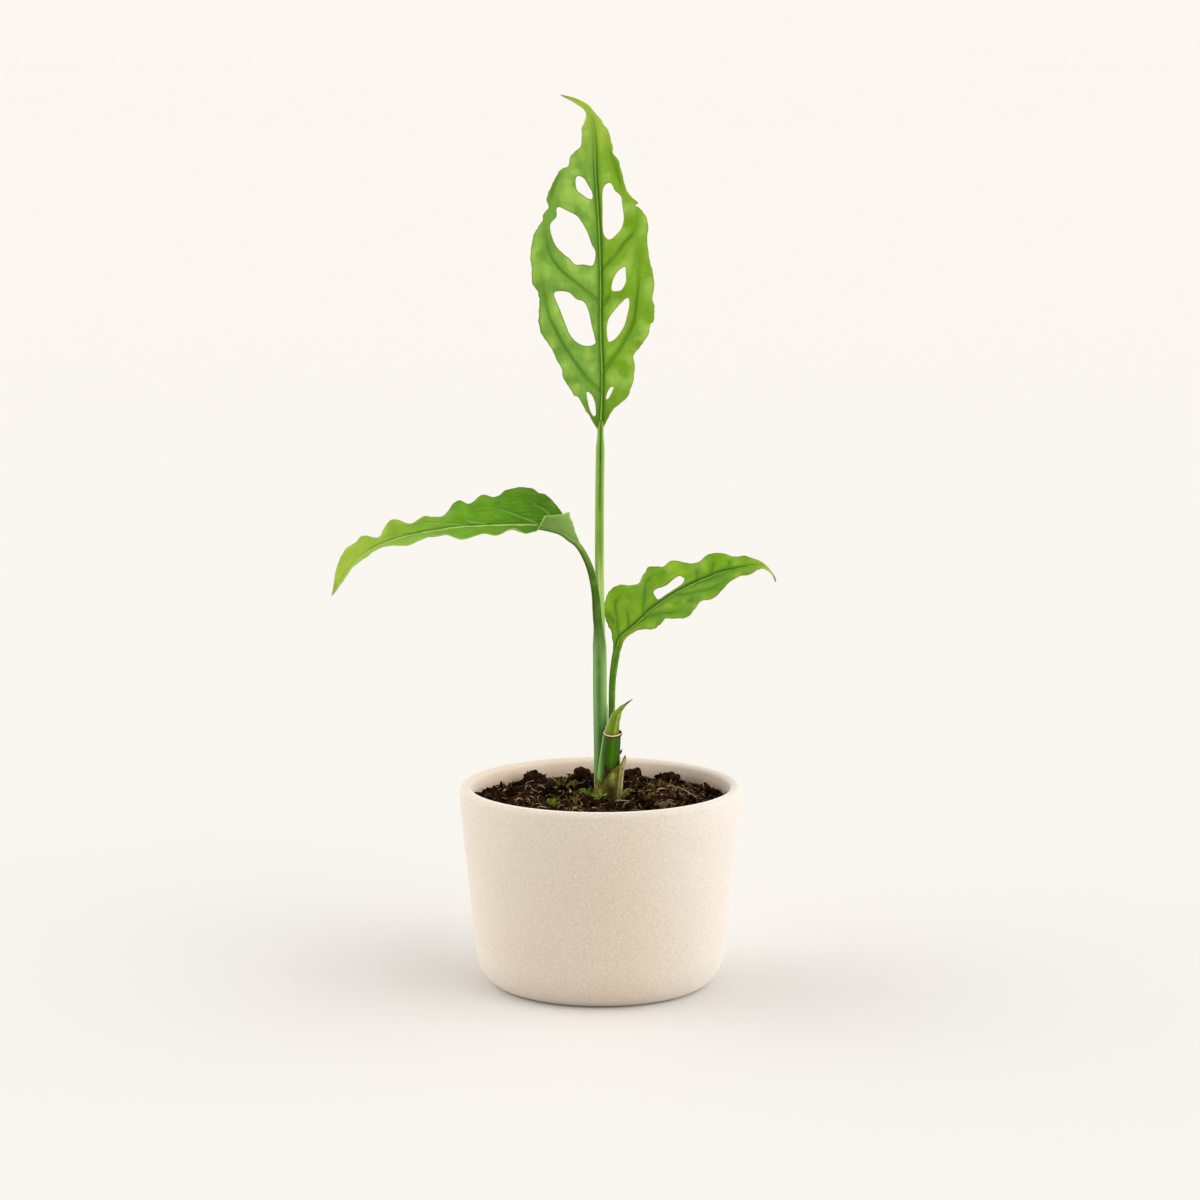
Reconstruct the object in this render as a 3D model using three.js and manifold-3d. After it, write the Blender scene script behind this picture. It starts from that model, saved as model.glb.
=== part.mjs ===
// A young potted monstera obliqua: three leaves on their stalks, the cut stem that they grew from
// with its bud and dry sheath, the soil, and a round ceramic pot.
// Millimetres, +Z up. The origin is the middle of the pot's flat base, on the surface it stands on.
// The plant is seen from the front along +Y, with +X to the right.

import * as THREE from "three";
import { mergeVertices } from "three/addons/utils/BufferGeometryUtils.js";
import Module from "manifold-3d";

const wasm = await Module();
wasm.setup();

// Driving dimensions

const GAP = 0.3;

const POT = {
  height: 64.8,
  footRadius: 31.5,
  footReach: 9,
  footRise: 14,
  wallRadiusAtFloor: 39.2,
  wallSlope: 0.101,
  rimRadius: 45,
  lipRadius: 1.83,
  shoulder: 58,
  floorTop: 5,
  segments: 52,
};

const SOIL = {
  middle: 61,
  edgeDrop: 2.2,
  edgeRadius: 40,
  lump: 0.7,
  wallRoom: 0.6,
  rimRoom: 1.2,
  shoulder: 54.6,
  footRadius: 30.5,
  rings: 12,
  segments: 54,
};

const BLADE = {
  thickness: 0.7,
  ribHeight: 0.7,
  ribReach: 1.1,
  edgeStep: 1.9,
  gridStep: 2.7,
  reach: 25,
  ribRoom: 0.8,
  gridRoom: 0.6,
};

// Clods that stand out of the soil: middle, height and spread
const CLODS = [
  { x: -22, y: 27, rise: 3.2, spread: 5 },
  { x: -6, y: 29, rise: 3.6, spread: 4 },
  { x: 10.5, y: 28, rise: 3, spread: 4.5 },
  { x: 23, y: 25, rise: 2.4, spread: 4.5 },
  { x: 31, y: 14, rise: 1.6, spread: 4 },
  { x: -31, y: 8, rise: 1, spread: 6 },
  { x: 13, y: -12, rise: 0.9, spread: 5 },
];

// Each leaf is drawn in its own flat coordinates: along the midrib from the stalk, and across it.
// The midrib runs through the air, and each half leaves it at a bearing: 0 straight back, 90 up
// (or to the left on an upright leaf), 180 straight forward. The lift waves a half's margin.

const UPPER_LEAF = {
  up: 1,
  midrib: [
    [0, 0, 178.5],
    [0.5, 0.5, 195],
    [0, 1, 211],
    [0, 1.5, 227.5],
    [-0.5, 2, 242.5],
    [-1.5, 3.5, 258],
    [-2, 5, 271],
    [-3.5, 6.5, 278],
    [-8, 8, 281.5],
    [-13, 9, 283.5],
  ],
  plus: {
    bearing: [[0, 103], [40, 100], [100, 98]],
    lift: [
      [0, 0], [9, 0.6], [15, -0.8], [21, 0.8], [27, -0.9], [35, 1.1], [42, -1.2], [50, 1.1],
      [58, -0.9], [65, 1.1], [72, -1.1], [78, 0.9], [84, -0.8], [90, 0.6], [97, -0.3], [103, 0],
    ],
    margin: [
      [0, 0.6], [2.5, 2.5], [5.5, 4.5], [8, 6.25], [10.5, 7.75], [11.5, 9.25], [14, 10.75],
      [17.5, 12.75], [19.5, 13], [22.5, 14.25], [27.5, 16.25], [30, 18.25], [34, 19.75],
      [37.5, 19.75], [41, 19.25], [44, 20], [47, 21.75], [53, 22], [57.5, 21.75], [61.5, 21.25],
      [64.5, 20], [67, 17.75], [68.5, 17.5], [71, 15.5], [74, 16], [76.5, 14.75], [79.5, 13.25],
      [82, 11], [83.5, 8.5], [85.5, 8], [87.5, 6.5], [89.5, 4.5], [92.5, 4], [95, 3.75],
      [97.5, 2.5], [100, 1.25], [102.5, 0.8], [105, 0.7], [108, 0.5],
    ],
  },
  minus: {
    bearing: [[0, 257], [40, 260], [100, 262]],
    lift: [
      [0, 0], [8, -0.5], [14, 0.8], [22, -1], [29, 1], [34, -0.8], [42, 1.2], [51, -1],
      [60, 1.1], [70, -1], [78, 0.5], [86, -0.5], [94, 0.4], [103, 0],
    ],
    margin: [
      [0.5, 0.6], [4, 2.25], [6.5, 3.5], [9, 6.25], [11.5, 8.5], [15, 9.75], [19, 10.5],
      [22.5, 10], [24, 10.25], [26.5, 13], [30, 15.25], [33.5, 15.75], [34.5, 16.75],
      [39, 17.25], [42, 16.75], [45.5, 17], [49, 16.5], [55, 15.5], [59, 15.25], [62.5, 15.75],
      [66, 15.25], [68.5, 13.5], [70, 11.75], [70.5, 12.75], [72.5, 11], [75.5, 9.25],
      [79.5, 8.5], [84, 7.5], [87, 5.5], [89, 5.5], [93.5, 4.5], [97, 2.75], [99.5, 1.5],
      [102, 1.25], [105, 1], [108.5, 0.5],
    ],
  },
  tip: 111.4,
  holes: [
    [
      [78.5, 6.5], [80, 6], [80, 4.75], [79, 3.5], [76.5, 2.25], [75, 1.5], [73, 1.5],
      [73, 2.75], [74.5, 4.75], [76, 6.25],
    ],
    [
      [77.5, -4], [77, -5], [75, -5.75], [73, -7.5], [70, -7.75], [66.5, -8], [63.5, -7.25],
      [61.5, -5.5], [60, -3.25], [61, -1.75], [63, -1.25], [66, -1.25], [69.5, -1.5],
      [74, -1.75], [76.5, -2.5],
    ],
    [
      [70.5, 13], [71, 12], [70, 10.25], [68, 7], [66, 5.5], [62.5, 3.75], [58.5, 2.5],
      [56.5, 1.5], [53.5, 1.75], [52, 2.75], [52.5, 5.5], [52.5, 8], [54.5, 9.75],
      [56, 11.5], [59, 14], [63.5, 15.5], [66, 15.25], [68, 13.25],
    ],
    [
      [43, 14.75], [44, 13.25], [43.5, 10], [41.5, 7.75], [40.5, 5.25], [37.5, 3.75], [34, 3],
      [29.5, 2], [27.5, 2], [27, 5], [28.5, 8], [31, 10], [34.5, 11.5], [39, 13.25],
    ],
    [
      [51.5, -7.75], [49.5, -8], [47, -8], [44.5, -6.75], [44, -4.75], [44.5, -3.5],
      [47.5, -4], [50, -5.5],
    ],
    [
      [42, -8.75], [40, -9.25], [36.5, -8.5], [33, -7.5], [29.5, -5.25], [28, -3],
      [28.5, -2.25], [32.5, -2], [35.5, -2.75], [38, -4.5], [40.5, -6.75],
    ],
    [[12, 5], [11.5, 3.5], [9, 2.25], [5.5, 1.75], [4.5, 2.25], [5.5, 3.25], [8, 4.25]],
    [[14, -3.75], [12.5, -3.25], [10.5, -2.25], [10, -1.4], [11.5, -1.6], [13.5, -2.5]],
  ],
};

const LEFT_LEAF = {
  up: -1,
  midrib: [
    [-7, -2, 142],
    [-9.5, -2.3, 145],
    [-13.5, -2.7, 147.2],
    [-18.5, -3, 148.3],
    [-24.5, -3.5, 148.7],
    [-32, -4, 148.6],
    [-39, -4.5, 148.5],
    [-46.5, -5, 148],
    [-52.5, -5, 147],
    [-58.5, -5.5, 146],
    [-64.5, -6, 144.5],
    [-70, -6.5, 142.5],
    [-74.5, -7, 139.8],
    [-78.5, -7.2, 136],
    [-81.5, -7.5, 131.8],
    [-84.5, -8, 127.5],
  ],
  plus: {
    bearing: [[0, 45], [40, 40], [100, 40]],
    lift: [
      [0, 0], [10, 0], [13.5, 1.4], [15, 0.4], [17, 1.2], [24.5, 1.6], [28, -0.6], [32, 1],
      [36, -1.2], [39, 1], [45, -1.8], [50, 0.2], [54.5, -2], [60, 1.8], [65, -2], [69, 1.4],
      [71.5, 0.4], [75, 1.4], [84, 0.4], [87.5, 0],
    ],
    margin: [
      [0, 0.8], [3, 1.8], [6, 4.5], [9, 7.5], [11.5, 10.5], [14.5, 13], [17.5, 14.5],
      [21.5, 14.5], [26.5, 13], [31.5, 12.5], [36.5, 11], [40.5, 10.5], [45, 7.5], [49, 7],
      [53.5, 7], [58.5, 7.5], [63, 6.5], [65.5, 5.5], [69.5, 6.5], [73.5, 6.5], [77.5, 5.5],
      [81.5, 4], [85.5, 1.5],
    ],
  },
  minus: {
    bearing: [
      [0, 125], [5, 108], [9.5, 104], [13, 130], [16, 190], [19.5, 196], [25, 190], [100, 190],
    ],
    lift: [
      [0, 0], [7.5, 1.2], [10, -1.4], [15.5, 0.3], [18.5, 0.4], [22.5, 2.2], [28.5, 0.2],
      [32.5, 1], [39.5, -0.6], [44.5, 1.7], [49.5, 1.9], [57, -0.2], [64.5, 1.4],
      [70.5, 0.7], [77.5, 0.7], [86, 0],
    ],
    margin: [
      [0, 0.8], [3.5, 1.6], [5.5, 3], [7.5, 5], [9, 6.5], [11, 6.25], [14, 6], [17.5, 7], [21.5, 8],
      [27.5, 9.5], [35.5, 10.5], [45.5, 10], [53.5, 9], [61.5, 7.5], [69.5, 5.5], [77.5, 3.5],
      [85.5, 1],
    ],
  },
  tip: 88,
  holes: [],
};

const RIGHT_LEAF = {
  up: 1,
  midrib: [
    [5, 0.5, 107],
    [5.5, 0, 110],
    [6.5, -0.5, 112.5],
    [10.5, -1, 116],
    [13.5, -2, 119],
    [16.5, -2.5, 122],
    [20, -3, 124.5],
    [24.5, -3.5, 127.5],
    [29, -4, 130],
    [33.5, -4.5, 132],
    [38, -5, 134],
    [42.5, -5.5, 135],
    [46.5, -6.5, 136],
    [50.5, -7, 136],
    [53.5, -7.5, 134.5],
    [56, -8, 131.5],
  ],
  plus: {
    bearing: [[0, 80], [8, 60], [20, 48], [100, 45]],
    lift: [
      [0, 0], [5.5, -0.4], [7.5, 2], [9, 1.2], [11.5, 1.6], [16.5, 1.9], [19.5, -1.6],
      [22.5, 0.6], [25.5, 1.6], [28.5, -1], [32, 1.1], [35, -1.1], [38.5, -1.2], [43, 1],
      [46.5, 0.5], [49, -0.6], [53, 0.6], [58.5, -0.6], [63, 0],
    ],
    margin: [
      [0, 0.9], [3, 1.6], [5, 3.5], [6, 6.5], [7.5, 11], [9.5, 13.25], [13, 14.5], [16.5, 13.5],
      [19.5, 12], [22, 12.25], [25, 13], [28.5, 12], [33, 10.5], [36.5, 8.25], [41, 7.5],
      [45, 7], [48.5, 5.5], [53.5, 3.75], [58.5, 2], [62.5, 0.8],
    ],
  },
  minus: {
    bearing: [[0, 260], [8, 235], [20, 216], [100, 212]],
    lift: [
      [0, 0], [12, 1.2], [15.5, -1.1], [19, -0.5], [23, 0.8], [25.5, -0.8], [28.5, -1.5],
      [32.5, -0.4], [36.5, 0.8], [40, -0.6], [45, -0.2], [48, 0.4], [51.5, 1], [55, -0.2],
      [58, 0.4], [63, 0],
    ],
    margin: [
      [0, 0.9], [5, 1.8], [9, 2], [13.5, 3.25], [16.5, 6], [19, 7.25], [23, 8], [26.5, 9.5],
      [31, 10.75], [35.5, 9.25], [39, 9.25], [45, 7], [49, 4.75], [53.5, 4], [57, 2], [62.5, 0.5],
    ],
  },
  tip: 65,
  holes: [
    [
      [22.5, 5], [24, 5.25], [25.5, 4.75], [27.5, 4.5], [30, 5], [32, 5], [33, 3.75],
      [33, 2.75], [31.5, 1.75], [28, 1.5], [25.5, 1.5], [23, 1.5], [22.5, 2.5],
    ],
  ],
};

// Stalks: the line through the middle, and the radius at fractions of its length
const STALK_SIDES = 10;
const STALK_STEP = 4.5;

const UPPER_STALK = {
  path: [
    [0.3, 0.3, 52.3],
    [0.2, 0.3, 80],
    [0, 0.3, 105],
    [-0.3, 0.2, 130],
    [-0.3, 0.1, 155],
    [0, 0, 178.2],
  ],
  radius: [[0, 1.7], [0.45, 1.6], [0.6, 1.45], [0.95, 1.42], [1, 1]],
};

const LEFT_STALK = {
  path: [
    [0, -0.6, 52.3],
    [0, -0.6, 75],
    [-0.2, -0.6, 95],
    [-0.35, -0.6, 110],
    [-1.1, -1.9, 120],
    [-1.8, -2.8, 128],
    [-3.5, -2.7, 135.5],
    [-6.8, -2, 141.8],
  ],
  radius: [[0, 2.1], [0.5, 2.25], [0.62, 2.2], [0.72, 1.45], [0.85, 1.2], [1, 1]],
};

const RIGHT_STALK = {
  path: [
    [3.3, 1.6, 52.3],
    [3.4, 1.5, 72],
    [3.6, 1.2, 90],
    [3.9, 0.9, 99],
    [4.95, 0.5, 106.7],
  ],
  radius: [[0, 1.05], [0.8, 1.05], [1, 1.2]],
};

const STUB = {
  path: [
    [2.2, -4.7, 52.3],
    [2.4, -4.7, 66],
    [2.9, -4.7, 74],
    [3.85, -4.7, 84],
  ],
  radius: [[0, 3.5], [0.5, 3.45], [1, 2.8]],
  cutHeight: 82,
  cutTilt: 0.27,
  cutter: { side: 20, depth: 10 },
  sides: 18,
};

const SPUR = {
  path: [
    [5, -4.8, 75.2],
    [6.2, -4.8, 75.8],
    [6.9, -4.8, 77],
  ],
  radius: [[0, 0.55], [1, 0.2]],
};

const BUD = {
  path: [
    [3.3, -4.7, 79.3],
    [3.6, -4.7, 82.5],
    [4.7, -4.7, 87],
    [6.1, -4.7, 89.6],
    [8.1, -4.7, 91.6],
    [10.2, -4.7, 93.2],
  ],
  radius: [[0, 2.1], [0.2, 2.25], [0.5, 1.6], [0.7, 0.85], [0.85, 0.4], [1, 0.22]],
  sides: 12,
};

// The dry sheath is a curled sheet round the stub's foot, open at the back
const DRY_SHEATH = {
  middle: [[56, 2.4], [64, 2.5], [75, 3.4]],
  radius: [[56, 4.25], [64, 4.3], [75, 4.5]],
  y: -4.7,
  thickness: 0.6,
  fromAngle: 165,
  toAngle: 400,
  bottom: 56,
  top: [
    [165, 68.5], [200, 67.5], [220, 66.5], [238, 65.3], [254, 67.5], [270, 69.5], [305, 72],
    [322, 74], [335, 74.8], [350, 73.5], [400, 69],
  ],
  steps: 26,
  rows: 5,
};

// Shared geometry

const vector = (point) => new THREE.Vector3(...point);

// The value at x between the knots of a table, joined by straight lines
function between(table, x) {
  if (x <= table[0][0]) return table[0][1];
  for (let i = 1; i < table.length; i++) {
    const [x0, y0] = table[i - 1];
    const [x1, y1] = table[i];
    if (x <= x1) return y0 + ((y1 - y0) * (x - x0)) / (x1 - x0);
  }
  return table[table.length - 1][1];
}

// The same, rounded off at the knots, for waves
function eased(table, x) {
  if (x <= table[0][0]) return table[0][1];
  for (let i = 1; i < table.length; i++) {
    const [x0, y0] = table[i - 1];
    const [x1, y1] = table[i];
    if (x <= x1) return y0 + (y1 - y0) * THREE.MathUtils.smoothstep(x, x0, x1);
  }
  return table[table.length - 1][1];
}

// A geometry from points and triangles, turned so that its faces point out
function closedGeometry(points, triangles) {
  const volume = triangles.reduce((sum, [a, b, c]) => {
    const cross = new THREE.Vector3().crossVectors(points[b], points[c]);
    return sum + points[a].dot(cross);
  }, 0);
  const faces = volume < 0 ? triangles.map(([a, b, c]) => [a, c, b]) : triangles;
  const geometry = new THREE.BufferGeometry().setFromPoints(points);
  geometry.setIndex(faces.flat());
  return geometry;
}

function solidFrom(geometry) {
  geometry.deleteAttribute("normal");
  geometry.deleteAttribute("uv");
  const merged = mergeVertices(geometry, 1e-4);
  return new wasm.Manifold(
    new wasm.Mesh({
      numProp: 3,
      vertProperties: new Float32Array(merged.attributes.position.array),
      triVerts: new Uint32Array(merged.index.array),
    }),
  );
}

function geometryFrom(solid) {
  const { vertProperties, triVerts } = solid.getMesh();
  const geometry = new THREE.BufferGeometry();
  geometry.setAttribute("position", new THREE.BufferAttribute(vertProperties, 3));
  geometry.setIndex(new THREE.BufferAttribute(triVerts, 1));
  return geometry;
}

const largestBody = (solid) =>
  solid.decompose().reduce((best, body) => (body.volume() > best.volume() ? body : best));

function named(name, geometry, color, roughness) {
  const flat = geometry.index ? geometry.toNonIndexed() : geometry;
  flat.computeVertexNormals();
  const material = new THREE.MeshStandardMaterial({ color, roughness, metalness: 0 });
  const mesh = new THREE.Mesh(flat, material);
  mesh.name = name;
  return mesh;
}

// A round stalk along a path, its radius given along its length, with both ends closed
function stalk({ path, radius, sides = STALK_SIDES }, extra = 0) {
  const curve = new THREE.CatmullRomCurve3(path.map(vector), false, "catmullrom", 0.5);
  const rings = Math.max(4, Math.round(curve.getLength() / STALK_STEP));
  const { normals, binormals } = curve.computeFrenetFrames(rings, false);
  const points = [];
  const triangles = [];
  for (let i = 0; i <= rings; i++) {
    const middle = curve.getPointAt(i / rings);
    const r = eased(radius, i / rings) + extra;
    for (let j = 0; j < sides; j++) {
      const angle = (2 * Math.PI * j) / sides;
      const point = middle.clone();
      point.addScaledVector(normals[i], r * Math.cos(angle));
      point.addScaledVector(binormals[i], r * Math.sin(angle));
      points.push(point);
    }
  }
  for (let i = 0; i < rings; i++) {
    for (let j = 0; j < sides; j++) {
      const a = i * sides + j;
      const b = i * sides + ((j + 1) % sides);
      triangles.push([a, b, b + sides], [a, b + sides, a + sides]);
    }
  }
  for (let j = 1; j < sides - 1; j++) {
    const last = rings * sides;
    triangles.push([0, j + 1, j], [last, last + j, last + j + 1]);
  }
  return closedGeometry(points, triangles);
}

// Leaf blades

// The midrib as a curve, with the two directions across it at a place along it
class Midrib {
  constructor({ midrib, up }) {
    this.curve = new THREE.CatmullRomCurve3(midrib.map(vector), false, "catmullrom", 0.5);
    this.curve.arcLengthDivisions = 600;
    this.length = this.curve.getLength();
    this.up = up;
  }

  point(along) {
    const inside = THREE.MathUtils.clamp(along, 0, this.length);
    const point = this.curve.getPointAt(inside / this.length);
    return point.addScaledVector(this.direction(inside), along - inside);
  }

  direction(along) {
    const reach = 1.5;
    const inside = THREE.MathUtils.clamp(along, 0, this.length);
    const from = Math.max(0, inside - reach) / this.length;
    const to = Math.min(this.length, inside + reach) / this.length;
    return this.curve.getPointAt(to).sub(this.curve.getPointAt(from)).normalize();
  }

  across(along) {
    const direction = this.direction(along);
    const back = new THREE.Vector3(0, 1, 0);
    back.addScaledVector(direction, -back.dot(direction)).normalize();
    const upward = new THREE.Vector3().crossVectors(direction, back).multiplyScalar(this.up);
    return { back, upward };
  }
}

// Where a spot of the flat leaf lies in space
function onLeaf(leaf, rib, along, across) {
  const half = across >= 0 ? leaf.plus : leaf.minus;
  const { back, upward } = rib.across(along);
  const angle = THREE.MathUtils.degToRad(eased(half.bearing, along));
  const side = across >= 0 ? 1 : -1;
  const share = Math.min(1, Math.abs(across) / between(half.margin, along));
  const lift = side * eased(half.lift, along) * share * share;
  const reach = Math.abs(across);
  const point = rib.point(along);
  point.addScaledVector(back, reach * Math.cos(angle) - lift * Math.sin(angle));
  point.addScaledVector(upward, reach * Math.sin(angle) + lift * Math.cos(angle));
  return point;
}

// A closed smooth loop through the points, as evenly spaced flat points
function loop(points, step) {
  const curve = new THREE.CatmullRomCurve3(
    points.map(([x, y]) => new THREE.Vector3(x, y, 0)),
    true,
    "catmullrom",
    0.5,
  );
  const count = Math.max(7, Math.round(curve.getLength() / step));
  return curve.getSpacedPoints(count).slice(0, -1).map(({ x, y }) => [x, y]);
}

function leafOutline({ plus, minus, tip }) {
  const back = minus.margin.map(([along, across]) => [along, -across]).reverse();
  return [...plus.margin, [tip, 0], ...back];
}

function insideLoop(points, [x, y]) {
  let inside = false;
  for (let i = 0, j = points.length - 1; i < points.length; j = i++) {
    const [xi, yi] = points[i];
    const [xj, yj] = points[j];
    if (yi > y !== yj > y && x < ((xj - xi) * (y - yi)) / (yj - yi) + xi) inside = !inside;
  }
  return inside;
}

// Delaunay triangles of flat points, by adding one point at a time
function triangulate(points) {
  const far = 1e4;
  const all = [...points, [-far, -far], [far, -far], [0, far]];
  const count = points.length;
  let triangles = [circled(all, count, count + 1, count + 2)];
  for (let k = 0; k < count; k++) {
    const [x, y] = all[k];
    const edges = new Map();
    const kept = [];
    for (const triangle of triangles) {
      if ((x - triangle.x) ** 2 + (y - triangle.y) ** 2 >= triangle.square) {
        kept.push(triangle);
        continue;
      }
      const [a, b, c] = triangle.corners;
      for (const [from, to] of [[a, b], [b, c], [c, a]]) {
        const reverse = `${to},${from}`;
        if (edges.has(reverse)) edges.delete(reverse);
        else edges.set(`${from},${to}`, [from, to]);
      }
    }
    for (const [from, to] of edges.values()) kept.push(circled(all, from, to, k));
    triangles = kept;
  }
  return triangles.map(({ corners }) => corners).filter((corners) => Math.max(...corners) < count);
}

// A triangle with the circle through its corners
function circled(points, a, b, c) {
  const [ax, ay] = points[a];
  const [bx, by] = [points[b][0] - ax, points[b][1] - ay];
  const [cx, cy] = [points[c][0] - ax, points[c][1] - ay];
  const double = 2 * (bx * cy - by * cx);
  const x = (cy * (bx * bx + by * by) - by * (cx * cx + cy * cy)) / double;
  const y = (bx * (cx * cx + cy * cy) - cx * (bx * bx + by * by)) / double;
  return { corners: [a, b, c], x: ax + x, y: ay + y, square: x * x + y * y };
}

// Points over the inside of the leaf: rows along the midrib, and an even grid either side
function insidePoints(leaf, clear) {
  const { gridStep, ribReach, reach, ribRoom, gridRoom } = BLADE;
  const points = [];
  const rowStep = gridStep * Math.sqrt(0.75);
  const rows = Math.ceil(reach / rowStep);
  for (let row = -rows; row <= rows; row++) {
    const across = row === 0 ? 0 : Math.sign(row) * (ribReach + (Math.abs(row) - 1) * rowStep);
    const shift = row % 2 === 0 ? 0 : gridStep / 2;
    const step = row === 0 ? gridStep / 2 : gridStep;
    const room = Math.abs(row) < 2 ? ribRoom * ribReach : gridRoom * gridStep;
    for (let along = shift; along < leaf.tip; along += step) {
      if (clear([along, across], room)) points.push([along, across]);
    }
  }
  return points;
}

// A thin blade: the same triangles on both faces, with the midrib standing out underneath
function bladeGeometry(leaf) {
  const outline = loop(leafOutline(leaf), BLADE.edgeStep);
  const holes = leaf.holes.map((hole) => loop(hole, BLADE.edgeStep));
  const edge = [...outline, ...holes.flat()];
  const isLeaf = (spot) => insideLoop(outline, spot) && !holes.some((hole) => insideLoop(hole, spot));
  const clear = (spot, room) =>
    isLeaf(spot) && edge.every(([x, y]) => Math.hypot(x - spot[0], y - spot[1]) > room);
  const flat = [...edge, ...insidePoints(leaf, clear)];
  const faces = triangulate(flat).filter((corners) => {
    const [a, b, c] = corners.map((corner) => flat[corner]);
    return isLeaf([(a[0] + b[0] + c[0]) / 3, (a[1] + b[1] + c[1]) / 3]);
  });

  const rib = new Midrib(leaf);
  const middle = flat.map(([along, across]) => onLeaf(leaf, rib, along, across));
  const sheet = new THREE.BufferGeometry().setFromPoints(middle);
  sheet.setIndex(faces.flat());
  sheet.computeVertexNormals();
  const normal = new THREE.Vector3();
  const top = [];
  const under = [];
  middle.forEach((point, i) => {
    normal.fromBufferAttribute(sheet.attributes.normal, i);
    const [along, across] = flat[i];
    const fade = THREE.MathUtils.clamp(1 - along / leaf.tip, 0, 1);
    const keel = BLADE.ribHeight * fade * Math.max(0, 1 - Math.abs(across) / BLADE.ribReach);
    top.push(point.clone().addScaledVector(normal, BLADE.thickness / 2));
    under.push(point.clone().addScaledVector(normal, -BLADE.thickness / 2 - keel));
  });

  const offset = flat.length;
  const triangles = [];
  const edges = new Map();
  for (const [a, b, c] of faces) {
    triangles.push([a, b, c], [a + offset, c + offset, b + offset]);
    for (const [from, to] of [[a, b], [b, c], [c, a]]) {
      const reverse = `${to},${from}`;
      if (edges.has(reverse)) edges.delete(reverse);
      else edges.set(`${from},${to}`, [from, to]);
    }
  }
  for (const [from, to] of edges.values()) {
    triangles.push([from, from + offset, to + offset], [from, to + offset, to]);
  }
  return closedGeometry([...top, ...under], triangles);
}

// Pot

const outerRadius = (z) => POT.wallRadiusAtFloor + POT.wallSlope * z;

// Points on part of an ellipse in the profile plane, by angle from the outward direction
function arc({ x, y, reach, rise, from, to, steps }) {
  return Array.from({ length: steps + 1 }, (_, i) => {
    const angle = from + ((to - from) * i) / steps;
    return new THREE.Vector2(x + reach * Math.cos(angle), y + rise * Math.sin(angle));
  });
}

// The curve from the flat foot into the leaning wall, which it meets without a corner
function footCurve(bottom, reach, rise, steps) {
  const to = -Math.atan((POT.wallSlope * rise) / reach);
  return arc({ x: POT.footRadius, y: bottom + rise, reach, rise, from: -Math.PI / 2, to, steps });
}

function potProfile() {
  const { height, footReach, footRise, rimRadius, lipRadius, shoulder, floorTop } = POT;
  const wall = 2 * lipRadius;
  const lip = { x: rimRadius - lipRadius, y: height - lipRadius, reach: lipRadius, rise: lipRadius };
  return [
    new THREE.Vector2(0, 0),
    ...footCurve(0, footReach, footRise, 6),
    new THREE.Vector2(outerRadius(shoulder / 2), shoulder / 2),
    new THREE.Vector2(outerRadius(shoulder), shoulder),
    ...arc({ ...lip, from: 0, to: Math.PI, steps: 6 }),
    new THREE.Vector2(outerRadius(shoulder) - wall, shoulder - wall),
    ...footCurve(floorTop, footReach - wall, footRise - wall, 4).reverse(),
    new THREE.Vector2(0, floorTop),
  ];
}

function potGeometry() {
  return new THREE.LatheGeometry(potProfile(), POT.segments).rotateX(Math.PI / 2);
}

// Soil

// Height of the soil's surface: a low dome, rough all over, with clods
function soilHeight(x, y) {
  const { middle, edgeDrop, edgeRadius, lump } = SOIL;
  const dome = middle - edgeDrop * ((x * x + y * y) / edgeRadius ** 2);
  const rough =
    Math.sin(0.55 * x + 0.9) * Math.cos(0.48 * y - 0.4) + 0.6 * Math.sin(0.93 * x - 0.71 * y);
  const clods = CLODS.reduce((sum, clod) => {
    const square = (x - clod.x) ** 2 + (y - clod.y) ** 2;
    return sum + clod.rise * Math.exp(-square / clod.spread ** 2);
  }, 0);
  return dome + lump * rough + clods;
}

function soilGeometry() {
  const { middle, edgeDrop, wallRoom, rimRoom, shoulder, footRadius, rings, segments } = SOIL;
  const wall = 2 * POT.lipRadius;
  const foot = POT.floorTop + POT.footRise - wall;
  const bottom = POT.floorTop + GAP;
  const rim = outerRadius(middle - edgeDrop) - wall - rimRoom;
  const points = [new THREE.Vector3(0, 0, soilHeight(0, 0))];
  const ring = (radius, height) => {
    for (let j = 0; j < segments; j++) {
      const angle = (2 * Math.PI * j) / segments;
      const x = radius * Math.cos(angle);
      const y = radius * Math.sin(angle);
      points.push(new THREE.Vector3(x, y, height ?? soilHeight(x, y)));
    }
  };
  for (let i = 1; i <= rings; i++) ring((rim * i) / rings);
  ring(outerRadius(shoulder) - wall - wallRoom, shoulder);
  ring(outerRadius(foot) - wall - wallRoom - GAP, foot);
  ring(footRadius, bottom);
  points.push(new THREE.Vector3(0, 0, bottom));

  const triangles = [];
  const bands = rings + 3;
  const last = points.length - 1;
  for (let j = 0; j < segments; j++) {
    const next = (j + 1) % segments;
    triangles.push([0, 1 + j, 1 + next]);
    for (let i = 0; i < bands - 1; i++) {
      const a = 1 + i * segments + j;
      const b = 1 + i * segments + next;
      triangles.push([a, a + segments, b + segments], [a, b + segments, b]);
    }
    const lowest = 1 + (bands - 1) * segments;
    triangles.push([lowest + j, last, lowest + next]);
  }
  return closedGeometry(points, triangles);
}

// Dry sheath

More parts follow.
